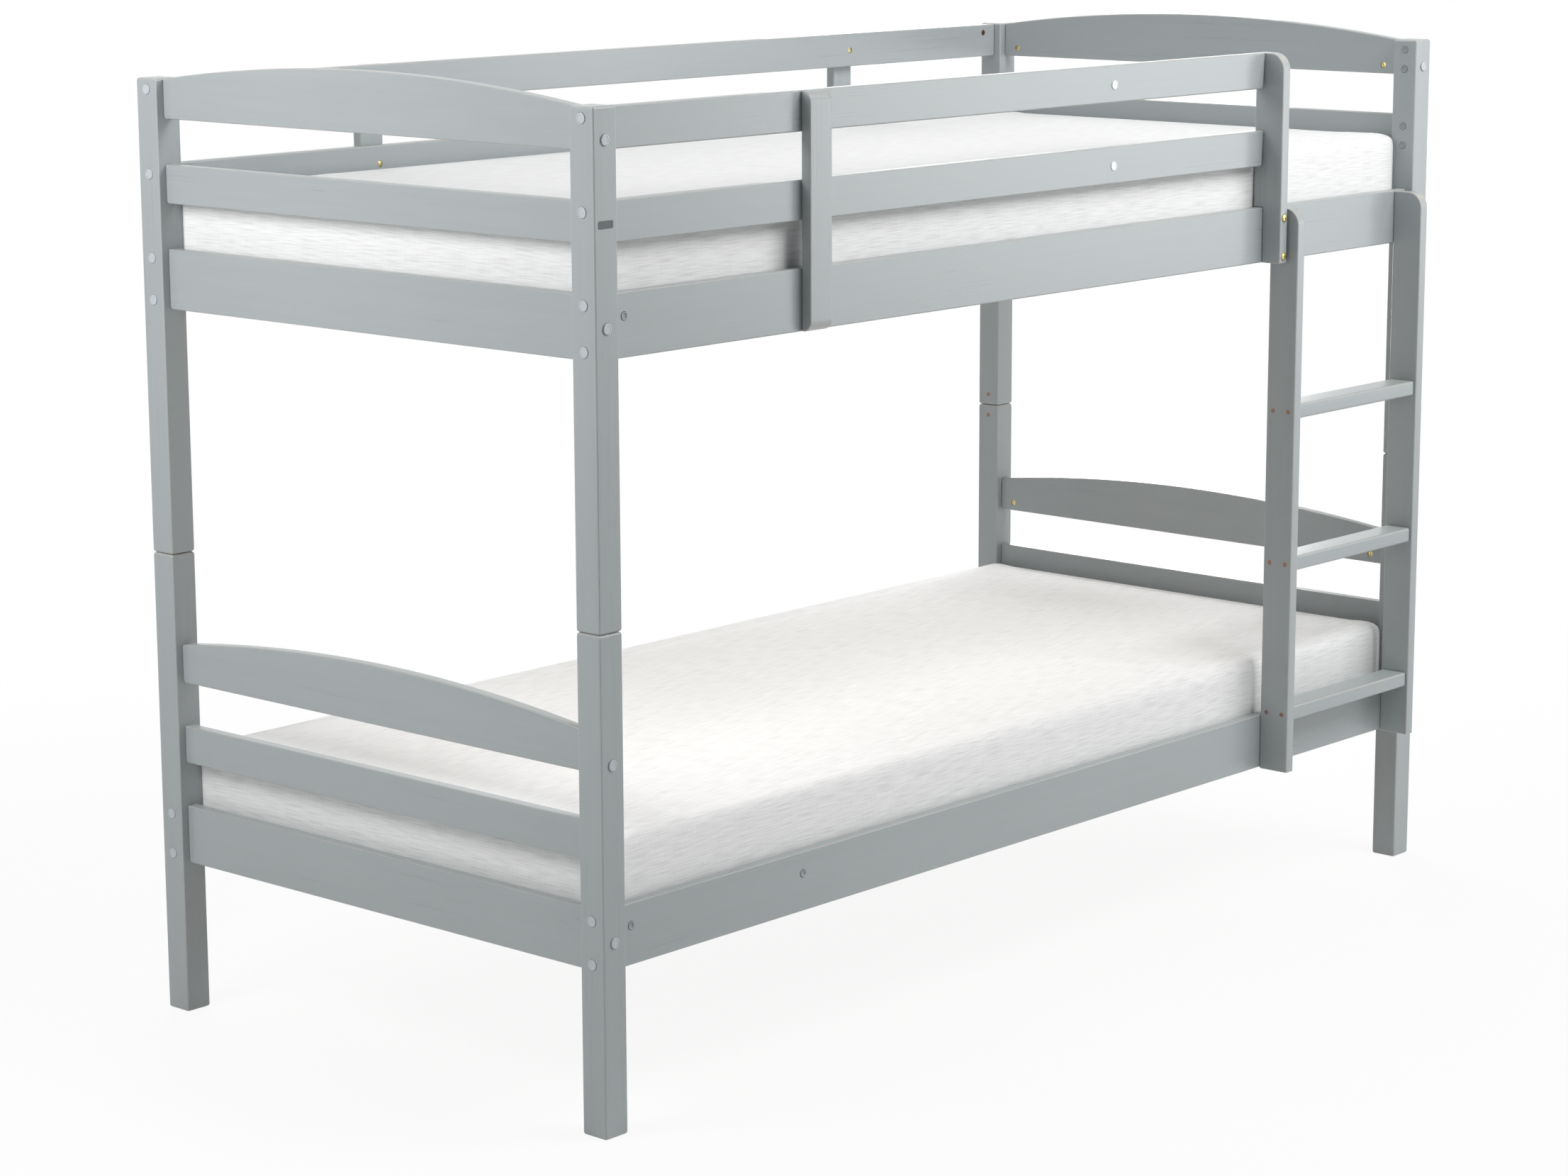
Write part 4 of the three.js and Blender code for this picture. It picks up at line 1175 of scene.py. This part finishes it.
# %% Nuts
def slotted(piece, width, length, depth, arms):
    """Cuts a slot, or a cross of two slots, into a disc's face."""
    for x, y in ((length / 2, width / 2), (width / 2, length / 2))[:arms]:
        cut_out(piece, block("slot_tool", (-x, -y, -depth), (x, y, depth)))


NUT_SUNK = 0.0008
nut = disc("nut", NUT_RADIUS, NUT_HOLE_DEPTH - NUT_SUNK, sides=28)
round_rim(nut, radius=0.0005, steps=2)
slotted(nut, width=0.0012, length=0.0066, depth=0.0011, arms=1)
for table, name, material in ((brass_nut_spots, "brass_barrel_nuts", brass),
                              (copper_nut_spots, "copper_barrel_nuts", copper)):
    finish_small(set_at(sum(table.values(), []), nut, -NUT_SUNK), name, material, "brass")
discard(nut, nut_hole_tool)
print("nuts done")

# %% A cross-head screw
SCREW_PROUD = 0.0003
screw = disc("screw", radius=0.0036, thickness=0.0012, sides=24)
round_rim(screw, radius=0.0003, steps=2)
slotted(screw, width=0.0010, length=0.0042, depth=0.0009, arms=2)
print("screw:", len(screw.data.polygons), "faces")

# %% Where the cross-head screws go
RUNG_SCREW_REACH = 0.0155
JOINT_SCREW_REACH = 0.020
LEDGER_SCREWS = 7
LEDGER_SCREW_MARGIN = 0.08

rung_spots = []
for facing, face in (("-x", stiles["head"][0].x), ("+x", stiles["foot"][1].x)):
    for node in rung_nodes:
        centre = middle_of(node)
        rung_spots += [(facing, (face, centre.y + reach, centre.z))
                       for reach in (-RUNG_SCREW_REACH, RUNG_SCREW_REACH)]
joint_spots = []
for corner in CORNERS:
    facing, inner_face = ("-x", inner_x) if END_SIGN[corner[1]] > 0 else ("+x", -inner_x)
    joint_spots += [(facing, (inner_face, post_middle[corner].y, posts[corner][0].z + reach))
                    for reach in (-JOINT_SCREW_REACH, JOINT_SCREW_REACH)]
ledger_spots = []
for level in LEVELS:
    for side, facing in (("front", "+y"), ("back", "-y")):
        low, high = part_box(f"{level}_slat_ledger_{side}")
        face = high.y if side == "front" else low.y
        pitch = (high.x - low.x - 2 * LEDGER_SCREW_MARGIN) / (LEDGER_SCREWS - 1)
        ledger_spots += [(facing, (low.x + LEDGER_SCREW_MARGIN + pitch * index, face, (low.z + high.z) / 2))
                         for index in range(LEDGER_SCREWS)]

for spots, name, material, slot in ((rung_spots, "copper_rung_screws", copper, "brass"),
                                    (joint_spots, "copper_joint_screws", copper, "brass"),
                                    (ledger_spots, "zinc_ledger_screws", zinc, "zinc_steel")):
    finish_small(set_at(spots, screw, SCREW_PROUD), name, material, slot)
discard(screw)
print("screws in rungs, joints and ledgers:", len(rung_spots), len(joint_spots), len(ledger_spots))

# %% [markdown]
# Two dome-head screws hold the upright beside the ladder to the side rail. The dome could be half
# a ball, but the real head is a low disc with a wide round rim, and a hexagon socket in it. So it
# is a disc whose rim is rounded by nearly its own height, with a six-sided hole and a shank that
# goes into the timber.

# %% Dome-head screws beside the ladder
dome = disc("dome", radius=0.0063, thickness=0.0026)
round_rim(dome, radius=0.0022, steps=6)
cut_out(dome, disc("socket", radius=0.0016, thickness=0.0030, sides=6, top=0.0016))
shank = disc("shank", radius=0.0024, thickness=0.041, sides=16, top=-0.0020)
dome_screw = joined([dome, shank], "turned")
for number in (1, 2):
    node = f"upright_screw_{number}"
    centre = middle_of(node)
    seated = set_at([("-y", (centre.x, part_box(node)[0].y, centre.z))], dome_screw)
    finish_small(seated, f"brass_{node}", brass, "brass", node)
discard(dome_screw)
print("fasteners done")

# %% [markdown]
# A small plain bar on the front head post marks how high the mattress may reach. It is a thin
# plate on the timber and not a colour in the paint, as its edge shows. The steel pins in the post
# joints and the ladder's bolts have the right shape as they come from the CAD model, so they only
# get their zinc finish.

# %% The mark bar and the hidden steel
MARK_SIZE = Vector((0.029, 0.0004, 0.011))
MARK_Z = 1.303
mark_middle = Vector((post_middle["front", "head"].x, posts["front", "head"][0].y - MARK_SIZE.y / 2, MARK_Z))
mark = block("mattress_height_mark", mark_middle - MARK_SIZE / 2, mark_middle + MARK_SIZE / 2)
round_corners(mark, Y, radius=0.0025, steps=4)
finish_small([mark], "mattress_height_mark", dark_mark, "grey_paint")

for name, cad_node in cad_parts.items():
    if name.startswith(("joint_pin", "ladder_bolt")):
        coat(cad_node, zinc)
print("mark bar and hidden steel done")

# %% [markdown]
# The studio is plain. Its floor could be lit until it is white, but that much light would bleach
# the bed. The floor glows by itself for what sees it directly, a little less than white under the
# bed and pure white further out, and it still takes the bed's soft shadow.

# %% Floor
WHITE = (1.0, 1.0, 1.0, 1.0)
bpy.ops.object.select_all(action="DESELECT")
bpy.ops.mesh.primitive_plane_add(size=30.0, location=(0, 0, 0))
floor = bpy.context.object
floor.name = "studio_floor"


def seen_directly(tree):
    """1 to the camera, to reflections and through glass, and 0 to light on a surface."""
    path = add(tree, "ShaderNodeLightPath")
    mirrored = maths(tree, "MAXIMUM", (path, "Is Camera Ray"), (path, "Is Glossy Ray"))
    return maths(tree, "MAXIMUM", mirrored, (path, "Is Transmission Ray"))


floor_material, tree, shader, place = new_material("studio_floor")
fill(tree, shader, {"Base Color": (0.80, 0.80, 0.80, 1.0), "Roughness": 0.9, "Specular IOR Level": 0.1})
glow = add(tree, "ShaderNodeEmission", {"Color": WHITE, "Strength": 1.0})
reach = add(tree, "ShaderNodeVectorMath", {0: place}, operation="LENGTH")
# The floor is a little less than white under the bed, and white from 3 m out
outer = spread(tree, (reach, "Value"), 1.2, 3.0, to_low=0.90, interpolation_type="SMOOTHSTEP")
whiteness = maths(tree, "MULTIPLY", seen_directly(tree), outer)
mixed = add(tree, "ShaderNodeMixShader", {0: whiteness, 1: (shader, 0), 2: (glow, 0)})
fill(tree, tree.nodes["Material Output"], {"Surface": (mixed, 0)})
floor.data.materials.append(floor_material)
print("floor done")

# %% [markdown]
# The world is bright to the camera and to reflections, and faint to the surfaces, so the lamps
# alone shape them. Seven soft lamps stand round the bed. The ones high in front and at the head
# end are the strongest on what the camera sees. Sharp small lamps would draw hard shadows of
# every rail, which the photograph doesn't have. Together they light a surface at about the level
# at which a colour looks as written.

# %% World
world = bpy.data.worlds.new("studio")
bpy.context.scene.world = world
world.use_nodes = True
tree = world.node_tree
light_level = spread(tree, seen_directly(tree), 0.0, 1.0, to_low=0.08)
fill(tree, tree.nodes["Background"], {"Color": WHITE, "Strength": light_level})
print("world done")

# %% Lamps
def soft_lamp(name, place, aim, size, watts):
    """A square lamp of a size in metres."""
    data = bpy.data.lights.new(name, "AREA")
    data.shape = "SQUARE"
    data.size = size
    data.energy = watts
    lamp = bpy.data.objects.new(name, data)
    bpy.context.collection.objects.link(lamp)
    lamp.location = place
    lamp.rotation_euler = (Vector(aim) - Vector(place)).to_track_quat("-Z", "Y").to_euler()
    return lamp


soft_lamp("high_front_softbox", (0.8, -2.55, 3.4), (0.0, 0.0, 0.9), 2.2, 106)
soft_lamp("right_front_softbox", (3.9, -3.7, 1.4), (0.0, -0.4, 1.1), 1.9, 42)
soft_lamp("high_head_end_softbox", (-2.5, 0.3, 2.1), (-1.0, 0.0, 1.2), 1.0, 26)
soft_lamp("low_head_end_softbox", (-2.6, 0.2, 1.2), (-1.0, 0.0, 0.9), 1.0, 6)
soft_lamp("foot_end_softbox", (2.4, 1.5, 1.15), (0.4, 0.0, 0.43), 1.2, 26)
# The tops of the head rails would mirror this lamp to the camera as white lines
soft_lamp("back_softbox", (1.3, 2.7, 2.3), (0.3, 0.0, 0.5), 2.0, 54).visible_glossy = False
soft_lamp("high_back_softbox", (0.0, 1.9, 4.4), (0.0, 0.0, 1.0), 2.0, 24)

# The plain view transform shows colours as they are written
bpy.context.scene.view_settings.view_transform = "Standard"
print("lamps:", len(bpy.data.lights))
